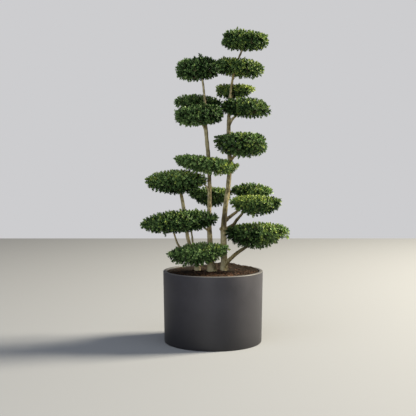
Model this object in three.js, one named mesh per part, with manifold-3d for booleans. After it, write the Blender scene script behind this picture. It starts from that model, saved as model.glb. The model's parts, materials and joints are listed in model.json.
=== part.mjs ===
// A cloud-pruned Japanese holly in a round planter: a clump of stems whose
// foliage is clipped into sixteen flat pads, each held out on its own bough.
// Units are millimetres and +Z is up. The origin is the centre of the planter's
// flat underside, +X is the plant's right and -Y its front.

import * as THREE from 'three';
import { mergeVertices } from 'three/addons/utils/BufferGeometryUtils.js';
import Module from 'manifold-3d';

const wasm = await Module();
wasm.setup();

// Clear space between pieces that touch.
const GAP = 0.3;
const MERGE_DISTANCE = 1e-4;

// Planter: a round, slightly tapered tub.
const RIM_DIAMETER = 700;
const FOOT_DIAMETER = 684;
const PLANTER_HEIGHT = 500;
const WALL = 25;
const FLOOR = 30;
const EDGE_CHAMFER = 4;
const ROUND_STEPS = 48;

// Soil: it fills the planter, rises to a low flat mound round the stems and lies
// heaped against the back wall.
const SOIL_EDGE = 490;
const SOIL_TOP = 496;
const MOUND_RADIUS = 165;
const HEAP_CENTRE = [100, 238];
const HEAP_RADII = [210, 100, 31];
const HEAP_STEPS = 20;

// Limbs.
const LIMB_SIDES = 8;
const BOUGH_SIDES = 6;
const RING_SPACING = 72;
const FOOT_DEPTH = 30;
// Spacing of the points tested where foliage is kept off the limbs.
const TEST_SPACING = 11;
// Growing a limb's corners by this much moves its faces out by at least the gap.
const CLEAR = GAP * 1.2;

// Foliage: how the twigs branch inside a pad, and the size of a leaf.
// Each level has one twig or leaf to so much of the pad's skin.
const TWIG_LEVELS = [
  { area: 64000, share: 0.45, inset: 0, thickness: 13 },
  { area: 52000, share: 1, inset: 12, thickness: 10 },
];
const TWIG_SIDES = 3;
const TWIG_TAPER = 0.6;
// A pad's stem is a little thinner than the limb's tip, and ends in its heart.
const STEM_SHARE = 0.9;
const STEM_END = 12;
const LEAF_AREA = 11200;
const LEAF_LENGTH = 64;
const LEAF_WIDTH = 38;
const LEAF_THICKNESS = 7;
const LEAF_LEAN = 38;
const LEAF_ROLL = 0.6;
const CORE_INSET = 15;
const ROOT_SUNK = 14;
const CORE_DETAIL = 1;
const LUMP_DEPTH = 0.05;
const OUTLINE_WIDTH = 0.15;
const POLE_EVENNESS = 0.62;
const TURN_JITTER = 0.25;

// Eight directions round a pad's edge as seen from the front, from its right end over
// its top.
const OUTLINE_WAYS = Array.from({ length: 8 }, (_, index) => {
  const turn = (index * Math.PI) / 4;
  return new THREE.Vector3(Math.cos(turn), -0.2, Math.sin(turn)).normalize();
});
const ACROSS = new THREE.Vector3(0, 1, 0);
const GOLDEN_ANGLE = Math.PI * (3 - Math.sqrt(5));

const FINISH = {
  planter: { color: 0x3b3b3f, roughness: 0.62, metalness: 0 },
  soil: { color: 0x33241a, roughness: 1, metalness: 0 },
  bark: { color: 0x8b7d62, roughness: 0.9, metalness: 0 },
  foliage: { color: 0x35562a, roughness: 0.75, metalness: 0 },
};

// Stems and boughs. A route holds [x, y, z, diameter] from foot to tip.
// A limb that springs from another starts on that limb's centre line.
const LIMBS = [
  {
    name: 'trunk_left',
    route: [
      [-8, -10, SOIL_TOP, 58], [-17, -12, 580, 43], [-21, -14, 708, 37], [-28, -16, 850, 32],
      [-24, -17, 1010, 28], [-30, -16, 1260, 28], [-51, -25, 1500, 26], [-53, -34, 1640, 17],
      [-73, -54, 1830, 14],
    ],
  },
  {
    name: 'trunk_right',
    route: [
      [80, 40, SOIL_TOP, 54], [79, 42, 590, 45], [75, 44, 770, 43], [83, 46, 900, 36],
      [107, 53, 1080, 33], [118, 58, 1240, 32], [111, 58, 1450, 29], [111, 60, 1560, 27],
      [120, 64, 1720, 16], [154, 69, 1915, 15], [205, 64, 2048, 13],
    ],
  },
  {
    name: 'stem_far_left',
    route: [
      [-109, 22, SOIL_TOP, 44], [-118, 17, 556, 36], [-150, 8, 645, 28], [-175, -2, 720, 25],
      [-191, -17, 830, 26], [-209, -38, 965, 25], [-226, -53, 1056, 20],
    ],
  },
  {
    name: 'stem_second',
    from: 'stem_far_left',
    route: [[-141, 10, 622, 17], [-142, -8, 690, 14], [-149, -24, 760, 12], [-157, -34, 806, 12]],
  },
  {
    name: 'stem_thin',
    from: 'stem_far_left',
    route: [[-120, 16, 560, 19], [-190, -6, 612, 17], [-242, -40, 680, 15], [-276, -80, 786, 12]],
  },
  {
    name: 'bough_upper_right',
    from: 'trunk_right',
    route: [[143, 67, 1846, 14], [145, 84, 1868, 12], [150, 104, 1890, 11]],
  },
  {
    name: 'bough_upper_right_back',
    from: 'trunk_right',
    route: [[117, 62, 1660, 16], [128, 92, 1700, 14], [140, 124, 1730, 12]],
  },
  {
    name: 'bough_upper_left_back',
    from: 'trunk_left',
    route: [[-53, -30, 1575, 17], [-58, 8, 1612, 14], [-70, 52, 1642, 12]],
  },
  {
    name: 'bough_upper_left_front',
    from: 'trunk_left',
    route: [[-50, -24, 1480, 18], [-66, -42, 1508, 15], [-84, -56, 1532, 13]],
  },
  {
    name: 'bough_middle_right',
    from: 'trunk_right',
    route: [[111, 60, 1528, 24], [136, 48, 1562, 19], [168, 36, 1590, 15]],
  },
  {
    name: 'bough_waist_right',
    from: 'trunk_right',
    route: [[118, 58, 1262, 22], [140, 48, 1290, 18], [166, 36, 1314, 15]],
  },
  {
    name: 'bough_waist_left',
    from: 'trunk_left',
    route: [[-28, -16, 1186, 17], [-38, -34, 1208, 14], [-50, -52, 1232, 12]],
  },
  {
    name: 'bough_low_left',
    from: 'trunk_left',
    route: [[-24, -17, 1050, 17], [-42, -30, 1084, 14], [-62, -43, 1108, 12]],
  },
  {
    name: 'bough_low_centre_back',
    from: 'trunk_left',
    route: [[-26, -17, 920, 20], [-22, 40, 946, 17], [-18, 112, 966, 14]],
  },
  {
    name: 'bough_low_right_back',
    from: 'trunk_right',
    route: [[78, 45, 842, 27], [132, 65, 881, 23], [177, 100, 914, 19], [232, 155, 990, 15]],
  },
  {
    name: 'bough_low_right_front',
    from: 'trunk_right',
    route: [
      [75, 44, 772, 28], [116, 30, 802, 25], [146, 15, 822, 23], [166, 0, 854, 21],
      [199, -30, 895, 18], [217, -50, 926, 15],
    ],
  },
  {
    name: 'bough_skirt_left',
    from: 'trunk_left',
    route: [[-25, -15, 768, 18], [-44, -30, 790, 15], [-66, -52, 806, 13]],
  },
  {
    name: 'bough_skirt_right',
    from: 'trunk_right',
    route: [[79, 42, 532, 34], [130, 26, 584, 27], [190, 4, 636, 24], [240, -12, 670, 21]],
  },
  {
    name: 'bough_foot_front',
    from: 'trunk_left',
    route: [[-11, -12, 512, 34], [4, -48, 540, 27], [-8, -110, 575, 21]],
  },
];

// Pads of foliage. A centre is [x, y, z]; a pad reaches half its width to each
// side, half its depth to front and back, its rise above the centre and its drop
// below. Fullness runs from 1.8, lens-like, to 3, blunt; lean is in degrees, with
// the right end lower; outline holds the shares by which the pad reaches further, or
// less far, in OUTLINE_WAYS; limb is the one that its stem grows from.
const PADS = [
  {
    name: 'pad_top_right', centre: [220, 60, 2122],
    halfWidth: 176, halfDepth: 132, rise: 60, drop: 77, fullness: 2.5, lean: 4.7,
    outline: [0, -0.05, -0.11, 0, -0.28, 0.16, 0, 0],
    limb: 'trunk_right',
  },
  {
    name: 'pad_top_left', centre: [-111, -68, 1895],
    halfWidth: 146, halfDepth: 134, rise: 79, drop: 74, fullness: 2.9, lean: -5.2,
    outline: [0.08, -0.05, 0, -0.04, 0, 0, 0.03, 0.04],
    limb: 'trunk_left',
  },
  {
    name: 'pad_upper_right', centre: [183, 90, 1935],
    halfWidth: 179, halfDepth: 130, rise: 58, drop: 76, fullness: 2.4, lean: 6.1,
    outline: [0, -0.11, -0.09, -0.13, 0, 0, -0.05, 0.04],
    limb: 'bough_upper_right',
  },
  {
    name: 'pad_upper_right_back', centre: [149, 190, 1788],
    halfWidth: 130, halfDepth: 115, rise: 33, drop: 68, fullness: 2.7, lean: -0.8,
    outline: [0.24, -0.18, -0.27, 0.04, -0.06, 0.03, 0.11, -0.07],
    limb: 'bough_upper_right_back',
  },
  {
    name: 'pad_upper_left_back', centre: [-112, 130, 1685],
    halfWidth: 179, halfDepth: 120, rise: 59, drop: 56, fullness: 1.9, lean: 1.8,
    outline: [0.06, -0.08, -0.09, 0, -0.08, 0.07, 0, 0],
    limb: 'bough_upper_left_back',
  },
  {
    name: 'pad_upper_left_front', centre: [-91, -90, 1592],
    halfWidth: 170, halfDepth: 135, rise: 54, drop: 81, fullness: 2.8, lean: -4.1,
    outline: [-0.14, 0, 0, -0.03, 0, 0, 0, 0],
    limb: 'bough_upper_left_front',
  },
  {
    name: 'pad_middle_right', centre: [222, 20, 1644],
    halfWidth: 176, halfDepth: 142, rise: 70, drop: 73, fullness: 1.9, lean: 1.4,
    outline: [-0.04, 0, -0.13, 0, 0, 0.05, -0.07, 0.23],
    limb: 'bough_middle_right',
  },
  {
    name: 'pad_waist_right', centre: [205, 15, 1420],
    halfWidth: 166, halfDepth: 150, rise: 50, drop: 103, fullness: 2.8, lean: 2.8,
    outline: [-0.05, -0.04, -0.03, -0.36, 0.2, 0.15, 0.15, 0.16],
    limb: 'bough_waist_right',
  },
  {
    name: 'pad_waist_left', centre: [-58, -70, 1264],
    halfWidth: 220, halfDepth: 150, rise: 32, drop: 68, fullness: 3, lean: 7.8,
    outline: [-0.05, -0.04, 0.05, -0.22, 0, -0.15, 0.24, 0.07],
    limb: 'bough_waist_left',
  },
  {
    name: 'pad_low_left', centre: [-254, -75, 1138],
    halfWidth: 208, halfDepth: 165, rise: 73, drop: 99, fullness: 1.9, lean: -0.9,
    outline: [0.03, -0.1, -0.06, -0.08, 0, 0.05, 0, 0.03],
    limb: 'stem_far_left',
  },
  {
    name: 'pad_low_centre_back', centre: [-13, 205, 1045],
    halfWidth: 167, halfDepth: 125, rise: 33, drop: 110, fullness: 1.8, lean: -0.7,
    outline: [0, -0.06, 0.1, 0, 0.03, -0.12, 0.05, -0.07],
    limb: 'bough_low_centre_back',
  },
  {
    name: 'pad_low_right_back', centre: [278, 190, 1054],
    halfWidth: 154, halfDepth: 108, rise: 56, drop: 67, fullness: 1.8, lean: 2.5,
    outline: [0.11, 0, 0, 0, 0, 0.02, 0, -0.09],
    limb: 'bough_low_right_back',
  },
  {
    name: 'pad_low_right_front', centre: [293, -85, 994],
    halfWidth: 175, halfDepth: 145, rise: 35, drop: 97, fullness: 2, lean: 0.7,
    outline: [0, -0.04, 0, 0, 0.06, 0, 0.04, 0.05],
    limb: 'bough_low_right_front',
  },
  {
    name: 'pad_skirt_left', centre: [-236, -115, 851],
    halfWidth: 261, halfDepth: 165, rise: 80, drop: 75, fullness: 2, lean: -4,
    outline: [0, 0, -0.05, -0.05, 0, 0.08, -0.03, 0],
    limb: 'stem_thin',
  },
  {
    name: 'pad_skirt_right', centre: [297, -25, 782],
    halfWidth: 226, halfDepth: 165, rise: 56, drop: 111, fullness: 1.8, lean: -1.6,
    outline: [0.03, 0.1, -0.1, 0.04, -0.12, 0.06, 0.14, 0.02],
    limb: 'bough_skirt_right',
  },
  {
    name: 'pad_foot_front', centre: [-101, -185, 658],
    halfWidth: 205, halfDepth: 136, rise: 55, drop: 92, fullness: 1.8, lean: -4.7,
    outline: [0.07, -0.02, -0.08, -0.17, 0.06, 0.14, 0.06, 0.04],
    limb: 'bough_foot_front',
  },
];

// Random numbers from 0 to 1 that are the same on every run.
function seededRandom(seed) {
  let state = seed * 2654435761;
  return () => {
    state = (state + 0x6d2b79f5) | 0;
    let mixed = Math.imul(state ^ (state >>> 15), 1 | state);
    mixed = (mixed + Math.imul(mixed ^ (mixed >>> 7), 61 | mixed)) ^ mixed;
    return ((mixed ^ (mixed >>> 14)) >>> 0) / 4294967296;
  };
}

// The closed solid that a three.js geometry encloses.
function solid(geometry) {
  geometry.deleteAttribute('normal');
  geometry.deleteAttribute('uv');
  const merged = mergeVertices(geometry, MERGE_DISTANCE);
  const mesh = new wasm.Mesh({
    numProp: 3,
    vertProperties: new Float32Array(merged.attributes.position.array),
    triVerts: new Uint32Array(merged.index.array),
  });
  return new wasm.Manifold(mesh);
}

// The largest single body of a solid, without scraps or sealed hollows.
function mainBody(shape) {
  const bodies = shape.decompose();
  return bodies.reduce((best, body) => (body.volume() > best.volume() ? body : best));
}

function toMesh(name, shape, finish) {
  const { vertProperties, triVerts } = shape.getMesh();
  const geometry = new THREE.BufferGeometry();
  geometry.setAttribute('position', new THREE.BufferAttribute(vertProperties, 3));
  geometry.setIndex(new THREE.BufferAttribute(triVerts, 1));
  geometry.computeVertexNormals();
  const mesh = new THREE.Mesh(geometry, new THREE.MeshStandardMaterial(FINISH[finish]));
  mesh.name = name;
  return mesh;
}

// A round body from [radius, height] pairs; lathes turn about Y, so it is stood up.
function turned(profile) {
  const points = profile.map(([radius, height]) => new THREE.Vector2(radius, height));
  return solid(new THREE.LatheGeometry(points, ROUND_STEPS).rotateX(Math.PI / 2));
}

// Outer radius of the planter at a height above its underside.
function outerRadius(height) {
  const share = height / PLANTER_HEIGHT;
  return THREE.MathUtils.lerp(FOOT_DIAMETER, RIM_DIAMETER, share) / 2;
}

function planter() {
  const foot = outerRadius(0);
  const rim = outerRadius(PLANTER_HEIGHT);
  const top = PLANTER_HEIGHT;
  return turned([
    [0, 0],
    [foot - EDGE_CHAMFER, 0],
    [outerRadius(EDGE_CHAMFER), EDGE_CHAMFER],
    [outerRadius(top - EDGE_CHAMFER), top - EDGE_CHAMFER],
    [rim - EDGE_CHAMFER, top],
    [rim - WALL + EDGE_CHAMFER, top],
    [outerRadius(top - EDGE_CHAMFER) - WALL, top - EDGE_CHAMFER],
    [outerRadius(FLOOR) - WALL, FLOOR],
    [0, FLOOR],
  ]);
}

function soil() {
  const inner = (height) => outerRadius(height) - WALL - 2 * GAP;
  const bed = turned([
    [0, FLOOR + GAP],
    [inner(FLOOR), FLOOR + GAP],
    [inner(SOIL_EDGE), SOIL_EDGE],
    [MOUND_RADIUS, SOIL_TOP],
    [0, SOIL_TOP],
  ]);
  const heap = new THREE.SphereGeometry(1, HEAP_STEPS, HEAP_STEPS / 2);
  heap.rotateX(Math.PI / 2).scale(...HEAP_RADII).translate(...HEAP_CENTRE, SOIL_EDGE);
  const inside = new THREE.CylinderGeometry(
    inner(SOIL_EDGE), inner(SOIL_EDGE), PLANTER_HEIGHT, ROUND_STEPS,
  );
  inside.rotateX(Math.PI / 2).translate(0, 0, PLANTER_HEIGHT);
  return bed.add(solid(heap).intersect(solid(inside)));
}

// A limb's route. One that stands in the soil starts below it, to be cut flat there.
function routeOf(limb) {
  if (limb.from) return limb.route;
  const [x, y, z, diameter] = limb.route[0];
  return [[x, y, z - FOOT_DEPTH, diameter], ...limb.route];
}

// A limb's centre line and its radius along it.
function centreLine(route) {
  return new THREE.CatmullRomCurve3(route.map(([x, y, z]) => new THREE.Vector3(x, y, z)));
}

function radiusAt(route, share) {
  const place = share * (route.length - 1);
  const before = Math.min(Math.floor(place), route.length - 2);
  return THREE.MathUtils.lerp(route[before][3], route[before + 1][3], place - before) / 2;
}

// A tapering limb: a cylinder whose rings are laid along the centre line.
// Extra is added to its radius and past its tip.
function limbSolid(limb, extra = 0) {
  const route = routeOf(limb);
  const curve = centreLine(route);
  const sides = limb.from ? BOUGH_SIDES : LIMB_SIDES;
  const rings = Math.max(3, Math.round(curve.getLength() / RING_SPACING));
  const frames = curve.computeFrenetFrames(rings, false);
  const geometry = new THREE.CylinderGeometry(1, 1, 1, sides, rings);
  const corner = new THREE.Vector3();
  const position = geometry.attributes.position;
  for (let i = 0; i < position.count; i += 1) {
    corner.fromBufferAttribute(position, i);
    const ring = Math.round((corner.y + 0.5) * rings);
    const share = curve.getUtoTmapping(ring / rings);
    const radius = radiusAt(route, share) + extra;
    const end = ring === rings ? extra : 0;
    const point = curve.getPoint(share).addScaledVector(frames.tangents[ring], end);
    point.addScaledVector(frames.normals[ring], corner.x * radius);
    point.addScaledVector(frames.binormals[ring], -corner.z * radius);
    position.setXYZ(i, point.x, point.y, point.z);
  }
  return solid(geometry);
}

// A large block whose top is at the given height, to cut feet flat.
function ground(height) {
  const size = RIM_DIAMETER;
  return solid(new THREE.BoxGeometry(size, size, size).translate(0, 0, height - size / 2));
}

function limbNamed(name) {
  return LIMBS.find((limb) => limb.name === name);
}

// A standing limb is cut flat at the soil, and a bough is cut clear of its parent.
function limbShape(limb) {
  const cutter = limb.from ? limbSolid(limbNamed(limb.from), CLEAR) : ground(SOIL_TOP + GAP);
  return mainBody(limbSolid(limb).subtract(cutter));
}

// Points along every limb, to keep twigs and leaves off them.
const LIMB_POINTS = LIMBS.flatMap((limb) => {
  const route = routeOf(limb);
  const curve = centreLine(route);
  const steps = Math.ceil(curve.getLength() / TEST_SPACING);
  return Array.from({ length: steps + 1 }, (_, i) => ({
    point: curve.getPoint(i / steps),
    radius: radiusAt(route, i / steps),
  }));
});

function touchesLimb(point, margin) {
  return LIMB_POINTS.some((bead) => point.distanceTo(bead.point) < bead.radius + margin);
}

// How a pad's edge swells and dips round it, by up to LUMP_DEPTH of its reach.
function lumps(pad, way) {
  const phase = pad.seed * 1.7;
  const wave = Math.sin(4.1 * way.x + 2.3 * way.y + phase)
    + Math.sin(3.7 * way.y - 3.1 * way.z + 2 * phase)
    + Math.sin(5.3 * way.x - 2.9 * way.y + 1.9 * way.z + 3 * phase);
  return 1 + LUMP_DEPTH * (wave / 3);
}

// How much further the pad reaches along a direction for the amounts in its outline.
function outlined(pad, way) {
  return pad.outline.reduce((share, amount, index) => {
    const near = OUTLINE_WAYS[index].dot(way) - 1;
    return share * (1 + amount * Math.exp(near / OUTLINE_WIDTH));
  }, 1);
}

// How far the pad's edge lies along a unit direction, where 1 is an ellipsoid.
function reach(pad, way) {
  const n = pad.fullness;
  const sum = Math.abs(way.x) ** n + Math.abs(way.y) ** n + Math.abs(way.z) ** n;
  return sum ** (-1 / n) * lumps(pad, way) * outlined(pad, way);
}

// The same pad made smaller by an inset on every side.
function shrunk(pad, inset) {
  return {
    ...pad,
    halfWidth: pad.halfWidth - inset,
    halfDepth: pad.halfDepth - inset,
    rise: pad.rise - inset,
    drop: pad.drop - inset,
  };
}

// Rough area of a pad's skin: its two faces and the band round them.
function skinArea(pad) {
  const faces = 2 * Math.PI * pad.halfWidth * pad.halfDepth;
  return faces + (Math.PI * (pad.halfWidth + pad.halfDepth) * (pad.rise + pad.drop)) / 2;
}

// The place at a share of the way from the pad's heart to its edge.
function placeIn(pad, way, share = 1) {
  const far = reach(pad, way) * share;
  const height = way.z > 0 ? pad.rise : pad.drop;
  const spot = new THREE.Vector3(way.x * pad.halfWidth, way.y * pad.halfDepth, way.z * height);
  return spot.multiplyScalar(far).applyAxisAngle(ACROSS, pad.lean).add(pad.centre);
}

// The unit direction in which a point lies from the pad's heart.
function wayTo(pad, point) {
  const spot = point.clone().sub(pad.centre).applyAxisAngle(ACROSS, -pad.lean);
  const height = spot.z > 0 ? pad.rise : pad.drop;
  return spot.divide(new THREE.Vector3(pad.halfWidth, pad.halfDepth, height)).normalize();
}

// Directions spread evenly over a pad, a few more of them towards its flat faces.
function spreadWays(count, random) {
  const turn = random() * 2 * Math.PI;
  return Array.from({ length: count }, (_, i) => {
    const level = 1 - (2 * i + 1) / count;
    const z = Math.sign(level) * Math.abs(level) ** POLE_EVENNESS;
    const flat = Math.sqrt(1 - z * z);
    const angle = turn + i * GOLDEN_ANGLE + (2 * random() - 1) * TURN_JITTER;
    return new THREE.Vector3(flat * Math.cos(angle), flat * Math.sin(angle), z);
  });
}

// A straight tapering stick from one point to another.
function stick(from, to, thickness, endThickness, sides) {
  const along = to.clone().sub(from);
  const length = along.length();
  const geometry = new THREE.CylinderGeometry(endThickness / 2, thickness / 2, length, sides, 1);
  const turn = new THREE.Quaternion().setFromUnitVectors(ACROSS, along.divideScalar(length));
  geometry.applyQuaternion(turn);
  const middle = from.clone().add(to).multiplyScalar(0.5);
  return solid(geometry.translate(middle.x, middle.y, middle.z));
}

// A leaf of eight faces that ends at a point, its flat side turned outward.
function leaf(end, along, outward, roll) {
  const side = new THREE.Vector3().crossVectors(outward, along).normalize();
  side.applyAxisAngle(along, roll);
  const face = new THREE.Vector3().crossVectors(along, side);
  const turn = new THREE.Matrix4().makeBasis(along, side, face);
  const centre = end.clone().addScaledVector(along, -LEAF_LENGTH / 2);
  const geometry = new THREE.OctahedronGeometry(0.5, 0);
  geometry.scale(LEAF_LENGTH, LEAF_WIDTH, LEAF_THICKNESS);
  geometry.applyMatrix4(turn.setPosition(centre));
  return solid(geometry);
}

// The dense heart of a clipped pad, which the twigs and leaves stand out of.
function core(pad) {
  const geometry = new THREE.IcosahedronGeometry(1, CORE_DETAIL);
  const position = geometry.attributes.position;
  const way = new THREE.Vector3();
  for (let i = 0; i < position.count; i += 1) {
    way.fromBufferAttribute(position, i).normalize();
    position.setXYZ(i, ...placeIn(shrunk(pad, CORE_INSET), way).toArray());
  }
  return solid(geometry);
}

function nearest(points, target) {
  return points.reduce((best, point) => (
    point.distanceTo(target) < best.distanceTo(target) ? point : best
  ));
}

function crossesLimb(from, to, margin) {
  const steps = Math.ceil(from.distanceTo(to) / TEST_SPACING);
  return Array.from({ length: steps }, (_, i) => from.clone().lerp(to, (i + 1) / steps))
    .some((point) => touchesLimb(point, margin));
}

// Twigs branch level by level: each new tip joins the nearest tip of the level before.
function twigsFrom(pad, random) {
  const pieces = [];
  let forks = [pad.centre];
  TWIG_LEVELS.forEach(({ area, share, inset, thickness }) => {
    const tips = [];
    const count = Math.round(skinArea(pad) / area);
    spreadWays(count, random).forEach((way) => {
      const tip = placeIn(shrunk(pad, inset), way, share);
      const fork = nearest(forks, tip);
      if (crossesLimb(fork, tip, thickness)) return;
      pieces.push(stick(fork, tip, thickness, thickness * TWIG_TAPER, TWIG_SIDES));
      tips.push(tip);
    });
    forks = tips;
  });
  return { pieces, tips: forks };
}

// Which way the pad's skin faces at a point.
function outwardAt(pad, point) {
  const spot = point.clone().sub(pad.centre);
  const height = pad.rise * pad.drop;
  return spot.divide(new THREE.Vector3(pad.halfWidth ** 2, pad.halfDepth ** 2, height)).normalize();
}

// Leaves are the last level: each ends at the pad's edge and leans over from the
// nearest twig, with its root sunk in the twig or the core.
function leavesOf(pad, tips, random) {
  const inner = shrunk(pad, CORE_INSET + ROOT_SUNK);
  const pieces = [];
  spreadWays(Math.round(skinArea(pad) / LEAF_AREA), random).forEach((way) => {
    const end = placeIn(pad, way);
    const twig = nearest(tips, end);
    const over = twig.clone().sub(end).setLength(LEAF_LEAN).add(end);
    const root = twig.distanceTo(end) < LEAF_LENGTH ? twig : placeIn(inner, wayTo(pad, over));
    const along = end.clone().sub(root).normalize();
    if (crossesLimb(root, end, LEAF_WIDTH / 2)) return;
    pieces.push(leaf(end, along, outwardAt(pad, end), (2 * random() - 1) * LEAF_ROLL));
  });
  return pieces;
}

// A pad of foliage: a stem from its limb, branching twigs, leaves and a core.
function padShape(pad, grownLimbs) {
  const random = seededRandom(pad.seed);
  const [x, y, z, diameter] = limbNamed(pad.limb).route.at(-1);
  const pieces = [core(pad)];
  const foot = new THREE.Vector3(x, y, z);
  pieces.push(stick(foot, pad.centre, diameter * STEM_SHARE, STEM_END, BOUGH_SIDES));
  const { pieces: twigs, tips } = twigsFrom(pad, random);
  pieces.push(...twigs, ...leavesOf(pad, tips, random));
  const joined = pieces.reduce((whole, piece) => whole.add(piece));
  return mainBody(joined.subtract(grownLimbs));
}

const plant = new THREE.Group();
plant.add(toMesh('planter', planter(), 'planter'));
plant.add(toMesh('soil', soil(), 'soil'));
LIMBS.forEach((limb) => plant.add(toMesh(limb.name, limbShape(limb), 'bark')));

const grownLimbs = LIMBS.map((limb) => limbSolid(limb, CLEAR))
  .reduce((whole, shape) => whole.add(shape));
PADS.forEach((sizes, index) => {
  const pad = { ...sizes, seed: index + 1, lean: THREE.MathUtils.degToRad(sizes.lean) };
  pad.centre = new THREE.Vector3(...sizes.centre);
  plant.add(toMesh(pad.name, padShape(pad, grownLimbs), 'foliage'));
});

export default plant;
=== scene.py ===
"""The looks of a cloud-pruned Japanese holly in a round planter, built on its CAD frame.

The plant's sizes are in millimetres, as in the part's source, and become metres
where a mesh is made. +X is the plant's right, -Y its front and +Z up.
"""

import json
import logging
import math
from dataclasses import dataclass, field
from enum import Enum

import bmesh
import bpy
import numpy as np
from mathutils import Matrix, Vector, noise

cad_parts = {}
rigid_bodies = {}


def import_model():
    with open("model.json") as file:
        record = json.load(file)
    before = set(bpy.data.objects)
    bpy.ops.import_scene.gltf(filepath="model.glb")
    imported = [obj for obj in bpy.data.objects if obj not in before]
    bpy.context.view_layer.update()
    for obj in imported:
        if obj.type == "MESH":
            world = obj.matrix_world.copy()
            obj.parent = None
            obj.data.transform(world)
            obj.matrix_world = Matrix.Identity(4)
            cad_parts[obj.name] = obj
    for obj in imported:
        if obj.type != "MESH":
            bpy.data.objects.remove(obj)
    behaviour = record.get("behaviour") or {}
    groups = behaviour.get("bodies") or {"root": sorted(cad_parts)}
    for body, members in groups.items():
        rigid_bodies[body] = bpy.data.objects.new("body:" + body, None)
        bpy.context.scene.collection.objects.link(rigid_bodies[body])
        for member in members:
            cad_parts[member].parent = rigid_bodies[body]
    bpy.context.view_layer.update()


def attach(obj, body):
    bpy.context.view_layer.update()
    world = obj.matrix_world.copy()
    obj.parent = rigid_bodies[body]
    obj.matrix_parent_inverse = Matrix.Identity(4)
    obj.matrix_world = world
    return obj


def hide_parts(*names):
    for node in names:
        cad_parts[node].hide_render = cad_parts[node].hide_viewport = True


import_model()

log = logging.getLogger("holly")

MM = 0.001
BODY = "root"
PAINTED_LIGHT_AND_SHADE = "weathering"
GOLDEN_ANGLE = math.pi * (3 - math.sqrt(5))
UP = np.array([0.0, 0.0, 1.0])

Array = np.ndarray
Colour = tuple[float, float, float]
Place = tuple[float, float, float]
Link = bpy.types.NodeSocket


class Slot(Enum):
    """The record's material slots."""

    PLANTER = "planter"
    SOIL = "soil"
    BARK = "bark"
    FOLIAGE = "foliage"


class Tone(Enum):
    """How light a leaf is painted: dark tones are painted shade in the heart of a pad, light ones new
    growth and painted light at its tips, yellowish as painted sunlight and bluish as painted skylight.
    """

    DEEP_SHADE = 0
    SHADED = 1
    GREEN = 2
    FRESH_SUNLIT = 3
    BRIGHT_SUNLIT = 4
    FRESH_SKYLIT = 5
    BRIGHT_SKYLIT = 6


# Shader nodes


@dataclass(frozen=True)
class Signal:
    """A shader socket that carries a number, so that sums are written as sums."""

    tree: bpy.types.NodeTree
    socket: Link

    @staticmethod
    def worked(tree: bpy.types.NodeTree, operation: str, *values: "Signal | float") -> "Signal":
        """Adds one Math node.

        Args:
            tree: The node tree that the node goes into.
            operation: The Math node's operation.
            values: Its inputs in order, as signals or numbers.

        Returns:
            The node's result.
        """
        node = tree.nodes.new("ShaderNodeMath")
        node.operation = operation
        for socket, value in zip(node.inputs, values):
            if isinstance(value, Signal):
                tree.links.new(value.socket, socket)
            else:
                socket.default_value = value
        return Signal(tree, node.outputs[0])

    def __add__(self, other: "Signal | float") -> "Signal":
        """This value plus another."""
        return Signal.worked(self.tree, "ADD", self, other)

    __radd__ = __add__

    def __sub__(self, other: "Signal | float") -> "Signal":
        """This value less another."""
        return Signal.worked(self.tree, "SUBTRACT", self, other)

    def __rsub__(self, other: float) -> "Signal":
        """A number less this value."""
        return Signal.worked(self.tree, "SUBTRACT", other, self)

    def __mul__(self, other: "Signal | float") -> "Signal":
        """This value times another."""
        return Signal.worked(self.tree, "MULTIPLY", self, other)

    __rmul__ = __mul__

    def clamped(self) -> "Signal":
        """This value kept between 0 and 1."""
        return Signal.worked(self.tree, "MINIMUM", Signal.worked(self.tree, "MAXIMUM", self, 0.0), 1.0)


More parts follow.
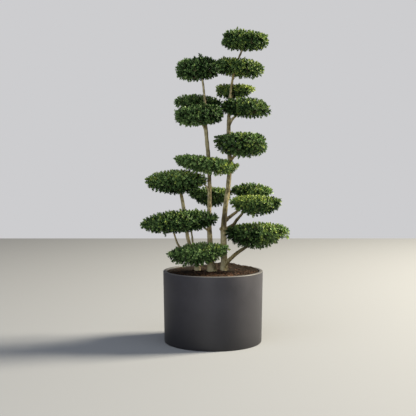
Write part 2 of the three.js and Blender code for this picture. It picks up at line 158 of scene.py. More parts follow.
class Recipe:
    """One material and the nodes that mix it."""

    def __init__(self, name: str) -> None:
        """Starts an empty material.

        Args:
            name: The material's name.
        """
        self.material = bpy.data.materials.new(name)
        self.material.use_nodes = True
        self.tree = self.material.node_tree
        self.tree.nodes.clear()

    def node(self, kind: str, settings: dict | None = None, inputs: dict | None = None) -> bpy.types.Node:
        """Adds any node.

        Args:
            kind: The node's type, without the word ShaderNode.
            settings: Its properties, by name.
            inputs: The value, signal or link of each socket, by name or number.

        Returns:
            The new node.
        """
        made = self.tree.nodes.new("ShaderNode" + kind)
        for key, value in (settings or {}).items():
            setattr(made, key, value)
        for key, value in (inputs or {}).items():
            socket = made.inputs[key]
            if isinstance(value, Signal):
                self.tree.links.new(value.socket, socket)
            elif isinstance(value, bpy.types.NodeSocket):
                self.tree.links.new(value, socket)
            elif socket.type == "RGBA" and len(value) == 3:
                socket.default_value = (*value, 1.0)
            else:
                socket.default_value = value
        return made

    def signal(self, node: bpy.types.Node, output: str | int) -> Signal:
        """One of a node's outputs as a signal."""
        return Signal(self.tree, node.outputs[output])

    def place(self, stretch: Place = (1.0, 1.0, 1.0)) -> Link:
        """The piece's own coordinates, stretched.

        Args:
            stretch: How many times finer the pattern is along each axis.

        Returns:
            The link to feed a texture's Vector.
        """
        coordinates = self.node("TexCoord").outputs["Object"]
        return self.node("Mapping", {}, {"Vector": coordinates, "Scale": stretch}).outputs[0]

    def clouds(self, where: Link, scale: float, detail: float, roughness: float) -> Signal:
        """Soft noise from 0 to 1.

        Args:
            where: The coordinates.
            scale: Cells per metre.
            detail: Octaves of finer noise.
            roughness: How strong the finer octaves are.

        Returns:
            The noise.
        """
        inputs = {"Vector": where, "Scale": scale, "Detail": detail, "Roughness": roughness}
        return self.signal(self.node("TexNoise", {}, inputs), 0)

    def cells(self, where: Link, scale: float) -> Signal:
        """Distance to the nearest of scattered points."""
        return self.signal(self.node("TexVoronoi", {}, {"Vector": where, "Scale": scale}), 0)

    def band(self, value: Signal, low: float, high: float) -> Signal:
        """A value stretched so that low becomes 0 and high becomes 1, and clamped."""
        return ((value - low) * (1.0 / (high - low))).clamped()

    def mixed(self, first: Colour | Link, second: Colour | Link, share: Signal | float) -> Link:
        """A colour between two others.

        Args:
            first: The colour at share 0.
            second: The colour at share 1.
            share: How much of the second.

        Returns:
            The mixed colour's link.
        """
        return self.node("Mix", {"data_type": "RGBA"}, {0: share, 6: first, 7: second}).outputs[2]

    def bumped(self, height: Signal, depth: float, strength: float) -> Link:
        """A normal from a height.

        Args:
            height: The relief, from 0 to 1.
            depth: How far 1 stands above 0, in metres.
            strength: The bump's strength.

        Returns:
            The normal's link.
        """
        inputs = {"Height": height, "Distance": depth, "Strength": strength}
        return self.node("Bump", {}, inputs).outputs[0]

    def finished(self, inputs: dict) -> bpy.types.Material:
        """Ends the recipe in one surface shader.

        Args:
            inputs: The values or links of the shader's sockets.

        Returns:
            The material.
        """
        surface = self.node("BsdfPrincipled", {}, inputs)
        self.node("OutputMaterial", {}, {"Surface": surface.outputs[0]})
        return self.material


# Finishes


@dataclass(frozen=True)
class CementFinish:
    """Matte charcoal fibre cement with painted shade darkening it towards its foot, and a paler lip, partly
    dusty wear and partly a painted highlight.

    Its heights are in metres.
    """

    dark: Colour = (0.0232, 0.0226, 0.0292)
    pale: Colour = (0.0395, 0.0382, 0.0492)
    dust_and_lip_highlight: Colour = (0.125, 0.120, 0.118)
    damp_and_shade: Colour = (0.006, 0.006, 0.008)
    foot_shade_heights: tuple[float, float] = (-0.10, 0.36)
    lip_height: float = 0.4955
    lip_blend: float = 0.003
    roughness: float = 0.48

    def material(self) -> bpy.types.Material:
        """The finish as a material."""
        recipe = Recipe("charcoal_cement")
        where = recipe.place()
        broad = recipe.clouds(where, 5.0, 4.0, 0.6)
        fine = recipe.clouds(where, 170.0, 4.0, 0.7)
        pits = recipe.band(recipe.cells(where, 240.0), 0.06, 0.16)
        shade = recipe.band(broad * 0.7 + fine * 0.3, 0.34, 0.66)
        body = recipe.mixed(self.dark, self.pale, shade)
        split = recipe.node("SeparateXYZ", {}, {0: where})
        height = recipe.signal(split, 2)
        # Painted shade darkens the planter towards its foot.
        body = recipe.mixed(self.damp_and_shade, body, recipe.band(height, *self.foot_shade_heights))
        # The lip is painted paler: partly dusty wear, partly a painted highlight along its edge.
        lip = recipe.band(height, self.lip_height, self.lip_height + self.lip_blend)
        rubbed_and_lit = lip * (0.45 + 0.4 * fine)
        relief = fine * 0.35 + pits * 0.65
        return recipe.finished({
            "Base Color": recipe.mixed(body, self.dust_and_lip_highlight, rubbed_and_lit.clamped()),
            "Roughness": (self.roughness + 0.16 * (broad - 0.5) + 0.1 * fine).clamped(),
            "Specular IOR Level": 0.5,
            "Normal": recipe.bumped(relief, 0.0006, 0.6),
        })


@dataclass(frozen=True)
class SoilFinish:
    """Dark moist potting soil with dry crumbs, whose paleness is painted light in its front middle.

    Painted shade fades the crumbs towards the sides, by the square of the distance from the lit middle,
    and towards the back, in metres.
    """

    wet: Colour = (0.011, 0.0075, 0.0048)
    dry: Colour = (0.155, 0.099, 0.065)
    lit_middle_x: float = 0.03
    side_painted_shade: tuple[float, float] = (0.010, 0.055)
    back_painted_shade: tuple[float, float] = (-0.16, 0.04)

    def material(self) -> bpy.types.Material:
        """The finish as a material."""
        recipe = Recipe("potting_soil")
        where = recipe.place()
        crumbs = recipe.cells(where, 150.0)
        # This noise is only the soil's own random pattern of wetter and drier spots.
        damp_and_shade = recipe.clouds(where, 22.0, 4.0, 0.65)
        grit = recipe.clouds(where, 320.0, 3.0, 0.7)
        share = recipe.band(damp_and_shade * 0.6 + crumbs * 0.5 + grit * 0.2, 0.38, 0.86)
        parts = recipe.node("SeparateXYZ", {}, {0: where})
        across, depth = recipe.signal(parts, 0), recipe.signal(parts, 1)
        off_middle = (across - self.lit_middle_x) * (across - self.lit_middle_x)
        patches = recipe.band(recipe.clouds(where, 8.0, 3.0, 0.6), 0.40, 0.60)
        # Painted shade darkens the back and the sides; the crumbs keep their painted light in the front
        # middle.
        shown = 1.0 - 0.85 * recipe.band(depth, *self.back_painted_shade)
        middle = 1.0 - 0.75 * recipe.band(off_middle, *self.side_painted_shade)
        share = share * (0.35 + 0.65 * patches) * shown * middle
        return recipe.finished({
            "Base Color": recipe.mixed(self.wet, self.dry, share),
            "Roughness": (0.9 + 0.2 * grit).clamped(),
            "Specular IOR Level": 0.12,
            "Normal": recipe.bumped(crumbs * 0.6 + grit * 0.4, 0.004, 0.9),
        })


@dataclass(frozen=True)
class ChipFinish:
    """A piece of bark mulch lying on the soil."""

    name: str
    colour: Colour

    def material(self) -> bpy.types.Material:
        """The finish as a material."""
        recipe = Recipe(self.name)
        where = recipe.place()
        grain = recipe.clouds(where, 260.0, 3.0, 0.6)
        dark = tuple(0.45 * part for part in self.colour)
        return recipe.finished({
            "Base Color": recipe.mixed(dark, self.colour, recipe.band(grain, 0.35, 0.6)),
            "Roughness": (0.7 + 0.25 * grain).clamped(),
            "Specular IOR Level": 0.2,
            "Normal": recipe.bumped(grain, 0.001, 0.6),
        })


@dataclass(frozen=True)
class BarkFinish:
    """Rough grey-beige bark with darker furrows, lichen-pale patches and knots, and the painted light and
    painted shade that each stem lays on it.
    """

    furrow: Colour = (0.112, 0.090, 0.036)
    bark: Colour = (0.405, 0.345, 0.155)
    pale: Colour = (0.660, 0.600, 0.385)
    ochre: Colour = (0.390, 0.275, 0.085)
    damp_and_shade: Colour = (0.056, 0.042, 0.018)

    def material(self) -> bpy.types.Material:
        """The finish as a material."""
        recipe = Recipe("holly_bark")
        along = recipe.place((1.0, 1.0, 0.24))
        even = recipe.place()
        streaks = recipe.clouds(along, 170.0, 5.0, 0.65)
        patches = recipe.clouds(even, 26.0, 4.0, 0.6)
        specks = recipe.clouds(even, 420.0, 2.0, 0.6)
        tints = recipe.clouds(recipe.place((1.0, 1.0, 0.5)), 17.0, 3.0, 0.55)
        flecks = recipe.clouds(recipe.place((1.0, 1.0, 0.6)), 95.0, 3.0, 0.6)
        painted_level = recipe.signal(recipe.node("Attribute", {"attribute_name": PAINTED_LIGHT_AND_SHADE}), "Fac")
        mottled_painted_level = (0.5 + patches) * painted_level
        colour = self.furrow
        for tint, share in (
            (self.bark, recipe.band(streaks, 0.34, 0.56)),
            (self.pale, recipe.band(patches + 0.25 * (streaks - 0.5), 0.47, 0.66) * 0.75),
            (self.ochre, recipe.band(tints, 0.48, 0.62) * 0.6),
            (self.furrow, recipe.band(1.0 - patches, 0.50, 0.64) * 0.8),
            (self.furrow, recipe.band(flecks, 0.53, 0.64) * 0.65),
            (self.pale, recipe.band(1.0 - flecks, 0.55, 0.66) * 0.5),
            # Painted shade darkens, and painted light pales, the bark where the stem's attribute says.
            (self.damp_and_shade, (mottled_painted_level * -1.0).clamped()),
            (self.pale, mottled_painted_level.clamped()),
        ):
            colour = recipe.mixed(colour, tint, share)
        relief = streaks * 0.7 + specks * 0.3
        return recipe.finished({
            "Base Color": colour,
            "Roughness": (0.74 + 0.2 * specks).clamped(),
            "Normal": recipe.bumped(relief, 0.0022, 0.8),
        })


@dataclass(frozen=True)
class TwigFinish:
    """The smooth brown-green bark of the twigs inside a pad."""

    old: Colour = (0.085, 0.062, 0.036)
    young: Colour = (0.120, 0.125, 0.050)

    def material(self) -> bpy.types.Material:
        """The finish as a material."""
        recipe = Recipe("twig_bark")
        mottle = recipe.clouds(recipe.place(), 60.0, 3.0, 0.6)
        colour = recipe.mixed(self.old, self.young, recipe.band(mottle, 0.35, 0.65))
        return recipe.finished({"Base Color": colour, "Roughness": 0.8})


@dataclass(frozen=True)
class LeafFinish:
    """A small leathery leaf of one tone."""

    tone: Tone
    colour: Colour
    roughness: float = 0.48
    gloss: float = 0.22

    def material(self) -> bpy.types.Material:
        """The finish as a material, in one plain colour because each spray has its own."""
        recipe = Recipe("leaf_" + self.tone.name.lower())
        return recipe.finished({
            "Base Color": self.colour,
            "Roughness": self.roughness,
            "Specular IOR Level": self.gloss,
        })


# Lit and shaded copies of one leaf: the darkest tones are painted shade, the lightest are painted sunlight
# when yellowish and painted skylight when bluish, on top of the lighter new growth.
LEAF_FINISHES = (
    LeafFinish(Tone.DEEP_SHADE, (0.0055, 0.0150, 0.0042), gloss=0.05),
    LeafFinish(Tone.SHADED, (0.032, 0.071, 0.023), gloss=0.12),
    LeafFinish(Tone.GREEN, (0.083, 0.153, 0.043)),
    LeafFinish(Tone.FRESH_SUNLIT, (0.160, 0.240, 0.054)),
    LeafFinish(Tone.BRIGHT_SUNLIT, (0.350, 0.425, 0.092)),
    LeafFinish(Tone.FRESH_SKYLIT, (0.142, 0.242, 0.082)),
    LeafFinish(Tone.BRIGHT_SKYLIT, (0.295, 0.425, 0.140)),
)

# The dark chip kind, laid away from the lit front middle as painted shade.
CHIP_IN_PAINTED_SHADE = 1
CHIP_SHARES = (0.4, 0.45, 0.15)
CHIP_FINISHES = (
    ChipFinish("chip_red", (0.225, 0.112, 0.064)),
    ChipFinish("chip_brown", (0.070, 0.040, 0.025)),
    ChipFinish("chip_tan", (0.380, 0.258, 0.172)),
)


# Mesh tools


def unit(vectors: Array) -> Array:
    """Vectors made one long."""
    return vectors / np.maximum(np.linalg.norm(vectors, axis=-1, keepdims=True), 1e-9)


def across(directions: Array) -> tuple[Array, Array]:
    """Two unit vectors square to each direction and to each other.

    Args:
        directions: Unit vectors, in rows.

    Returns:
        The first and the second set of square vectors.
    """
    helper = np.where(np.abs(directions[:, 2:3]) < 0.9, UP, np.array([1.0, 0.0, 0.0]))
    first = unit(np.cross(directions, helper))
    return first, np.cross(directions, first)


@dataclass
class TriangleSoup:
    """Points and triangles that many small shapes are gathered in."""

    points: list[Array] = field(default_factory=list)
    corners: list[Array] = field(default_factory=list)
    finishes: list[Array] = field(default_factory=list)
    count: int = 0

    def add(self, points: Array, corners: Array, finish: Array | int = 0) -> None:
        """Adds shapes that all have the same layout.

        Args:
            points: The shapes' points, as shapes by points by three, in millimetres.
            corners: The point numbers of one shape's triangles.
            finish: The material number, one for all or one for each shape.
        """
        shapes, size = points.shape[:2]
        first = self.count + np.arange(shapes)[:, None, None] * size
        self.points.append(points.reshape(-1, 3))
        self.corners.append((corners[None] + first).reshape(-1, 3))
        numbers = np.broadcast_to(np.asarray(finish), (shapes,))
        self.finishes.append(np.repeat(numbers, len(corners)))
        self.count += shapes * size

    def mesh(self, name: str, materials: list[bpy.types.Material]) -> bpy.types.Object:
        """Turns what was gathered into one object.

        Args:
            name: The piece's name.
            materials: Its materials, in the order of the finishes' numbers.

        Returns:
            The object, at the origin, in metres.
        """
        points = np.concatenate(self.points) * MM
        corners = np.concatenate(self.corners)
        mesh = bpy.data.meshes.new(name)
        mesh.vertices.add(len(points))
        mesh.vertices.foreach_set("co", points.astype(np.float32).ravel())
        mesh.loops.add(corners.size)
        mesh.loops.foreach_set("vertex_index", corners.astype(np.int32).ravel())
        mesh.polygons.add(len(corners))
        mesh.polygons.foreach_set("loop_start", np.arange(0, corners.size, 3, dtype=np.int32))
        for material in materials:
            mesh.materials.append(material)
        mesh.polygons.foreach_set(
            "material_index", np.concatenate(self.finishes).astype(np.int32)
        )
        mesh.polygons.foreach_set("use_smooth", np.ones(len(corners), bool))
        mesh.update(calc_edges=True)
        mesh.validate()
        return linked(name, mesh)


def tubes(paths: Array, radii: Array, sides: int) -> tuple[Array, Array]:
    """Many tapering tubes with closed ends.

    Args:
        paths: The tubes' centre lines, as tubes by stations by three.
        radii: The radius at each station, as tubes by stations.
        sides: Sides of each tube.

    Returns:
        The points, as tubes by points by three, and the triangles of one tube.
    """
    count, stations = paths.shape[:2]
    along = unit(np.gradient(paths, axis=1))
    ends = unit(paths[:, -1] - paths[:, 0])
    first, second = across(ends)
    turn = 2 * math.pi * np.arange(sides) / sides
    ring = np.cos(turn)[:, None] * first[:, None] + np.sin(turn)[:, None] * second[:, None]
    lean = np.einsum("ijk,ilk->ijl", along, ring)
    square = unit(ring[:, None] - lean[..., None] * along[:, :, None])
    points = paths[:, :, None] + square * radii[:, :, None, None]
    triangles = []
    for station in range(stations - 1):
        for side in range(sides):
            low, high = station * sides, (station + 1) * sides
            after = (side + 1) % sides
            triangles.append((low + side, low + after, high + after))
            triangles.append((low + side, high + after, high + side))
    last = (stations - 1) * sides
    for side in range(1, sides - 1):
        triangles.append((0, side + 1, side))
        triangles.append((last, last + side, last + side + 1))
    return points.reshape(count, stations * sides, 3), np.array(triangles)


def linked(name: str, data: bpy.types.ID) -> bpy.types.Object:
    """An object for a mesh, lamp or camera, linked to the scene at the origin."""
    made = bpy.data.objects.new(name, data)
    bpy.context.scene.collection.objects.link(made)
    return made


def from_bmesh(name: str, bm: bmesh.types.BMesh, material: bpy.types.Material) -> bpy.types.Object:
    """Turns a bmesh into a smooth-shaded object and frees it.

    Args:
        name: The piece's name.
        bm: The shape, in metres.
        material: Its one material.

    Returns:
        The object.
    """
    mesh = bpy.data.meshes.new(name)
    bm.to_mesh(mesh)
    bm.free()
    mesh.materials.append(material)
    mesh.shade_smooth()
    return linked(name, mesh)


def settled(piece: bpy.types.Object, nodes: tuple[str, ...] = ()) -> None:
    """Hangs a finished piece on the body and reports it.

    Args:
        piece: The finished object.
        nodes: The CAD nodes that it stands for.
    """
    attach(piece, BODY)
    if nodes:
        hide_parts(*nodes)
    triangles = sum(len(face.vertices) - 2 for face in piece.data.polygons)
    log.info("%s: %d triangles", piece.name, triangles)


# Planter, soil


@dataclass
class Planter:
    """The round, slightly tapered tub."""

    rim_radius: float = 350.0
    foot_radius: float = 342.0
    height: float = 500.0
    wall: float = 25.0
    floor: float = 30.0
    steps: int = 144
    outer_levels: tuple[float, ...] = (90.0, 250.0, 410.0)
    inner_level: float = 250.0
    lip_round: float = 5.0
    foot_round: float = 7.0
    round_steps: int = 4
    tolerance: float = 0.1

    def outer_radius(self, height: float) -> float:
        """The outer radius at a height above the underside."""
        share = height / self.height
        return self.foot_radius + (self.rim_radius - self.foot_radius) * share

    def build(self, finish: CementFinish) -> bpy.types.Object:
        """Spins the wall's section and rounds its edges.

        Args:
            finish: The planter's finish.

        Returns:
            The planter.
        """
        levels = [0.0, *self.outer_levels, self.height]
        outside = [(self.outer_radius(level), level) for level in levels]
        levels = [self.height, self.inner_level, self.floor]
        inside = [(self.outer_radius(level) - self.wall, level) for level in levels]
        section = [(0.0, 0.0), *outside, *inside, (0.0, self.floor)]
        bm = bmesh.new()
        points = [bm.verts.new((radius * MM, 0.0, height * MM)) for radius, height in section]
        edges = [bm.edges.new(pair) for pair in zip(points, points[1:])]
        bmesh.ops.spin(
            bm, geom=points + edges, cent=(0, 0, 0), axis=(0, 0, 1),
            angle=2 * math.pi, steps=self.steps, use_merge=True,
        )
        bmesh.ops.remove_doubles(bm, verts=bm.verts[:], dist=1e-6)
        bmesh.ops.recalc_face_normals(bm, faces=bm.faces[:])
        self.round_ring(bm, self.rim_radius, self.height, self.lip_round)
        self.round_ring(bm, self.rim_radius - self.wall, self.height, self.lip_round)
        self.round_ring(bm, self.foot_radius, 0.0, self.foot_round)
        return from_bmesh("planter_shell", bm, finish.material())

    def round_ring(self, bm: bmesh.types.BMesh, radius: float, height: float, size: float) -> None:
        """Rounds one edge that runs round the planter.

        Args:
            bm: The planter.
            radius: The edge's radius.
            height: Its height.
            size: How far the rounding reaches.
        """
        def on_ring(vert: bmesh.types.BMVert) -> bool:
            """Whether a point lies on the edge."""
            out = math.hypot(vert.co.x, vert.co.y) / MM
            up = vert.co.z / MM
            return abs(out - radius) < self.tolerance and abs(up - height) < self.tolerance

        edges = [edge for edge in bm.edges if all(on_ring(vert) for vert in edge.verts)]
        bmesh.ops.bevel(
            bm, geom=edges, offset=size * MM, offset_type="OFFSET", affect="EDGES",
            segments=self.round_steps, profile=0.5, material=-1,
        )


@dataclass(frozen=True)
class Litter:
    """One kind of loose bits on the soil: their half sizes, and how deep they sink."""

    tries: int
    half_sizes: tuple[tuple[float, float], ...]
    sunk: float


@dataclass
class Soil:
    """The soil's crumbly top and the bark mulch on it.

    It is heaped up against the back wall, by so much of the heap's rise at so many
    degrees round from the right. As painted shade, the litter thins out towards the back,
    between the first and the second of two places, and away from the lit front middle the
    chips are all of the dark kind.
    """

    planter: Planter
    edge_height: float = 490.0
    top_height: float = 496.0
    mound_radius: float = 165.0
    heap_turns: tuple[float, ...] = (-12.0, 0.0, 20.0, 45.0, 64.0, 86.0, 106.0)
    heap_shares: tuple[float, ...] = (0.0, 0.2, 0.62, 0.56, 1.0, 0.88, 0.0)
    heap_rise: float = 29.0
    heap_ridge: float = 18.0
    heap_width: float = 70.0
    heap_at_wall: float = 0.35
    heap_crumbs: float = 0.16
    bumps: float = 3.0
    bump_scale: float = 0.016
    crumbs: float = 3.4
    crumb_scale: float = 0.07
    depth: float = 60.0
    clearance: float = 1.0
    cells: int = 110
    litter: tuple[Litter, ...] = (
        Litter(2300, ((4.0, 12.0), (2.5, 6.0), (0.8, 2.2)), 1.2),
        Litter(2200, ((1.6, 4.0), (1.4, 3.2), (1.2, 2.4)), 0.6),
    )
    litter_edge: float = 6.0
    litter_tilts: tuple[float, float] = (0.22, 0.25)
    litter_chipping: tuple[float, float] = (0.65, 1.0)
    litter_patches: float = 0.014
    foot_clearance: float = 0.55
    shade_bare_front: tuple[float, float] = (-150.0, 90.0)
    shade_bare_shares: tuple[float, float] = (-0.2, 0.34)
    lit_chips_x: float = 30.0
    lit_chips_width: float = 150.0
    lit_chips_front: tuple[float, float] = (-160.0, 20.0)
    lit_chips_shares: tuple[float, float] = (1.0, 0.15)

    @property
    def radius(self) -> float:
        """The soil's radius at its edge."""
        return self.planter.outer_radius(self.edge_height) - self.planter.wall - self.clearance

    def height(self, x: float, y: float) -> float:
        """The soil's height at a place, with its bumps."""
        out = math.hypot(x, y)
        share = min(max((self.radius - out) / (self.radius - self.mound_radius), 0.0), 1.0)
        rounded = share * share * (3 - 2 * share)
        level = self.edge_height + (self.top_height - self.edge_height) * rounded
        heap = self.heaped(x, y)
        broad = noise.noise(Vector((x * self.bump_scale, y * self.bump_scale, 3.0)))
        fine = noise.turbulence(Vector((x * self.crumb_scale, y * self.crumb_scale, 8.0)), 4, False)
        return level + heap + self.bumps * broad + (self.crumbs + self.heap_crumbs * heap) * fine

    def heaped(self, x: float, y: float) -> float:
        """How much higher the soil is at a place because it is heaped against the wall."""
        turn = math.degrees(math.atan2(y, x))
        share = float(np.interp(turn, self.heap_turns, self.heap_shares, right=0.0))
        off_wall = self.radius - math.hypot(x, y)
        away = (off_wall - self.heap_ridge) / self.heap_width
        risen = min(off_wall / self.heap_ridge, 1.0)
        bank = self.heap_at_wall + (1 - self.heap_at_wall) * risen
        return self.heap_rise * share * bank * math.exp(-away * away)

    def build(self, finish: SoilFinish) -> bpy.types.Object:
        """Bends a grid into a bumpy disc and closes it below.

        Args:
            finish: The soil's finish.

        Returns:
            The soil.
        """
        bm = bmesh.new()
        bmesh.ops.create_grid(bm, x_segments=self.cells, y_segments=self.cells, size=1.0)
        for vert in bm.verts:
            u, v = vert.co.x, vert.co.y
            x = u * math.sqrt(1 - v * v / 2) * self.radius
            y = v * math.sqrt(1 - u * u / 2) * self.radius
            vert.co = Vector((x, y, self.height(x, y))) * MM
        rim = [edge for edge in bm.edges if edge.is_boundary]
        skirt = bmesh.ops.extrude_edge_only(bm, edges=rim)["geom"]
        lower = [item for item in skirt if isinstance(item, bmesh.types.BMVert)]
        for vert in lower:
            vert.co.z = (self.edge_height - self.depth) * MM
        loop = [edge for edge in skirt if isinstance(edge, bmesh.types.BMEdge) and edge.is_boundary]
        bmesh.ops.holes_fill(bm, edges=loop)
        bmesh.ops.recalc_face_normals(bm, faces=bm.faces[:])
        return from_bmesh("soil_top", bm, finish.material())

    def scattered(self, rng: np.random.Generator, count: int, bare: list["Limb"]) -> Array:
        """Random places on the soil, clear of the stems.

        Args:
            rng: The source of random numbers.
            count: How many places are tried.
            bare: The limbs that stand in the soil.

        Returns:
            The places, in rows.
        """
        out = (self.radius - self.litter_edge) * np.sqrt(rng.random(count))
        turn = rng.random(count) * 2 * math.pi
        x, y = out * np.cos(turn), out * np.sin(turn)
        clear = np.ones(count, bool)
        for limb in bare:
            foot_x, foot_y, _, diameter = limb.route[0]
            clear &= np.hypot(x - foot_x, y - foot_y) > diameter * self.foot_clearance
        patchy = [noise.noise(Vector((*spot, 0.0)) * self.litter_patches) for spot in zip(x, y)]
        # Painted shade: fewer bits towards the back, so that the dark soil shows there.
        clear &= np.array(patchy) > np.interp(y, self.shade_bare_front, self.shade_bare_shares)
        x, y = x[clear], y[clear]
        z = np.array([self.height(*spot) for spot in zip(x, y)])
        return np.column_stack([x, y, z])

    def mulch(self, rng: np.random.Generator, bare: list["Limb"]) -> bpy.types.Object:
        """Scatters flat chips of bark and small crumbs.

        Args:
            rng: The source of random numbers.
            bare: The limbs that stand in the soil.

        Returns:
            The mulch.
        """
        soup = TriangleSoup()
        box = np.array([(x, y, z) for z in (-1, 1) for y in (-1, 1) for x in (-1, 1)], float)
        box_faces = np.array([
            (0, 2, 1), (1, 2, 3), (4, 5, 6), (5, 7, 6), (0, 1, 4), (1, 5, 4),
            (2, 6, 3), (3, 6, 7), (0, 4, 2), (2, 4, 6), (1, 3, 5), (3, 7, 5),
        ])
        lean, roll = self.litter_tilts
        for kind in self.litter:
            spots = self.scattered(rng, kind.tries, bare)
            many = len(spots)
            half = np.column_stack([rng.uniform(low, high, many) for low, high in kind.half_sizes])
            heading = rng.random(many) * 2 * math.pi
            flat = np.column_stack([np.cos(heading), np.sin(heading), rng.normal(0, lean, many)])
            along = unit(flat)
            tilt = unit(UP + rng.normal(0, roll, (many, 3)))
            side = unit(np.cross(tilt, along))
            face = np.cross(along, side)
            shape = box[None] * half[:, None] * rng.uniform(*self.litter_chipping, (many, 8, 3))
            turned = sum(
                shape[..., axis, None] * base[:, None]
                for axis, base in enumerate((along, side, face))
            )
            lifted = spots + UP * (half[:, 2:3] - kind.sunk)
            kinds = rng.choice(len(CHIP_FINISHES), many, p=CHIP_SHARES)
            # Away from the lit front middle the chips are all of the dark kind, as painted shade.
            lit_chips = np.exp(-(((spots[:, 0] - self.lit_chips_x) / self.lit_chips_width) ** 2))
            lit_chips = lit_chips * np.interp(spots[:, 1], self.lit_chips_front, self.lit_chips_shares)
            kinds = np.where(rng.random(many) < lit_chips, kinds, CHIP_IN_PAINTED_SHADE)
            soup.add(lifted[:, None] + turned, box_faces, kinds)
        made = soup.mesh("bark_mulch", [finish.material() for finish in CHIP_FINISHES])
        made.data.shade_flat()
        return made


# Stems, boughs


@dataclass(frozen=True)
class Limb:
    """A stem or bough: its route holds (x, y, z, diameter) from foot to tip."""

    name: str
    route: tuple[tuple[float, float, float, float], ...]
    parent: str = ""
    FOOT_DEPTH = 30.0
    LEAST_GAP = 1e-4

    def stations(self) -> Array:
        """The route, begun below the soil where the limb stands in it."""
        rows = [list(row) for row in self.route]
        if not self.parent:
            x, y, z, diameter = rows[0]
            rows.insert(0, [x, y, z - self.FOOT_DEPTH, diameter])
        return np.array(rows, float)

    def line(self, spacing: float) -> tuple[Array, Array]:
        """The centre line as a smooth curve through the stations.

        Args:
            spacing: The distance between the points, about.

        Returns:
            The points, and the radius at each.
        """
        rows = self.stations()
        points = rows[:, :3]
        ends = (2 * points[0] - points[1], 2 * points[-1] - points[-2])
        padded = np.vstack([ends[0], points, ends[1]])
        places, radii = [], []
        for i in range(len(points) - 1):
            before, start, stop, after = padded[i:i + 4]
            gaps = [
                max(math.sqrt(np.linalg.norm(b - a)), self.LEAST_GAP)
                for a, b in ((before, start), (start, stop), (stop, after))
            ]
            leave = self.slope(before, start, stop, gaps[0], gaps[1]) * gaps[1]
            arrive = self.slope(start, stop, after, gaps[1], gaps[2]) * gaps[1]
            steps = max(2, round(np.linalg.norm(stop - start) / spacing))
            for t in np.arange(steps) / steps:
                cubic = 2 * start - 2 * stop + leave + arrive
                square = 3 * stop - 3 * start - 2 * leave - arrive
                places.append(start + t * (leave + t * (square + t * cubic)))
                radii.append((rows[i, 3] * (1 - t) + rows[i + 1, 3] * t) / 2)
        places.append(points[-1])
        radii.append(rows[-1, 3] / 2)
        return np.array(places), np.array(radii)

    @staticmethod
    def slope(first: Array, middle: Array, last: Array, gap: float, next_gap: float) -> Array:
        """The curve's slope at the middle one of three stations."""
        return (
            (middle - first) / gap
            - (last - first) / (gap + next_gap)
            + (last - middle) / next_gap
        )


LIMBS = (
    Limb("trunk_left", (
        (-8, -10, 496, 58), (-17, -12, 580, 43), (-21, -14, 708, 37), (-28, -16, 850, 32),
        (-24, -17, 1010, 28), (-30, -16, 1260, 28), (-51, -25, 1500, 26), (-53, -34, 1640, 17),
        (-73, -54, 1830, 14),
    )),
    Limb("trunk_right", (
        (80, 40, 496, 54), (79, 42, 590, 45), (75, 44, 770, 43), (83, 46, 900, 36),
        (107, 53, 1080, 33), (118, 58, 1240, 32), (111, 58, 1450, 29), (111, 60, 1560, 27),
        (120, 64, 1720, 16), (154, 69, 1915, 15), (205, 64, 2048, 13),
    )),
    Limb("stem_far_left", (
        (-109, 22, 496, 44), (-118, 17, 556, 36), (-150, 8, 645, 28), (-175, -2, 720, 25),
        (-191, -17, 830, 26), (-209, -38, 965, 25), (-226, -53, 1056, 20),
    )),
    Limb("stem_second", (
        (-141, 10, 622, 17), (-142, -8, 690, 14), (-149, -24, 760, 12), (-157, -34, 806, 12),
    ), "stem_far_left"),
    Limb("stem_thin", (
        (-120, 16, 560, 19), (-190, -6, 612, 17), (-242, -40, 680, 15), (-276, -80, 786, 12),
    ), "stem_far_left"),
    Limb("bough_upper_right", (
        (143, 67, 1846, 14), (145, 84, 1868, 12), (150, 104, 1890, 11),
    ), "trunk_right"),
    Limb("bough_upper_right_back", (
        (117, 62, 1660, 16), (128, 92, 1700, 14), (140, 124, 1730, 12),
    ), "trunk_right"),
    Limb("bough_upper_left_back", (
        (-53, -30, 1575, 17), (-58, 8, 1612, 14), (-70, 52, 1642, 12),
    ), "trunk_left"),
    Limb("bough_upper_left_front", (
        (-50, -24, 1480, 18), (-66, -42, 1508, 15), (-84, -56, 1532, 13),
    ), "trunk_left"),
    Limb("bough_middle_right", (
        (111, 60, 1528, 24), (136, 48, 1562, 19), (168, 36, 1590, 15),
    ), "trunk_right"),
    Limb("bough_waist_right", (
        (118, 58, 1262, 22), (140, 48, 1290, 18), (166, 36, 1314, 15),
    ), "trunk_right"),
    Limb("bough_waist_left", (
        (-28, -16, 1186, 17), (-38, -34, 1208, 14), (-50, -52, 1232, 12),
    ), "trunk_left"),
    Limb("bough_low_left", (
        (-24, -17, 1050, 17), (-42, -30, 1084, 14), (-62, -43, 1108, 12),
    ), "trunk_left"),
    Limb("bough_low_centre_back", (
        (-26, -17, 920, 20), (-22, 40, 946, 17), (-18, 112, 966, 14),
    ), "trunk_left"),
    Limb("bough_low_right_back", (
        (78, 45, 842, 27), (132, 65, 881, 23), (177, 100, 914, 19), (232, 155, 990, 15),
    ), "trunk_right"),
    Limb("bough_low_right_front", (
        (75, 44, 772, 28), (116, 30, 802, 25), (146, 15, 822, 23), (166, 0, 854, 21),
        (199, -30, 895, 18), (217, -50, 926, 15),
    ), "trunk_right"),
    Limb("bough_skirt_left", ((-25, -15, 768, 18), (-44, -30, 790, 15), (-66, -52, 806, 13)), "trunk_left"),
    Limb("bough_skirt_right", (
        (79, 42, 532, 34), (130, 26, 584, 27), (190, 4, 636, 24), (240, -12, 670, 21),
    ), "trunk_right"),
    Limb("bough_foot_front", ((-11, -12, 512, 34), (4, -48, 540, 27), (-8, -110, 575, 21)), "trunk_left"),
)


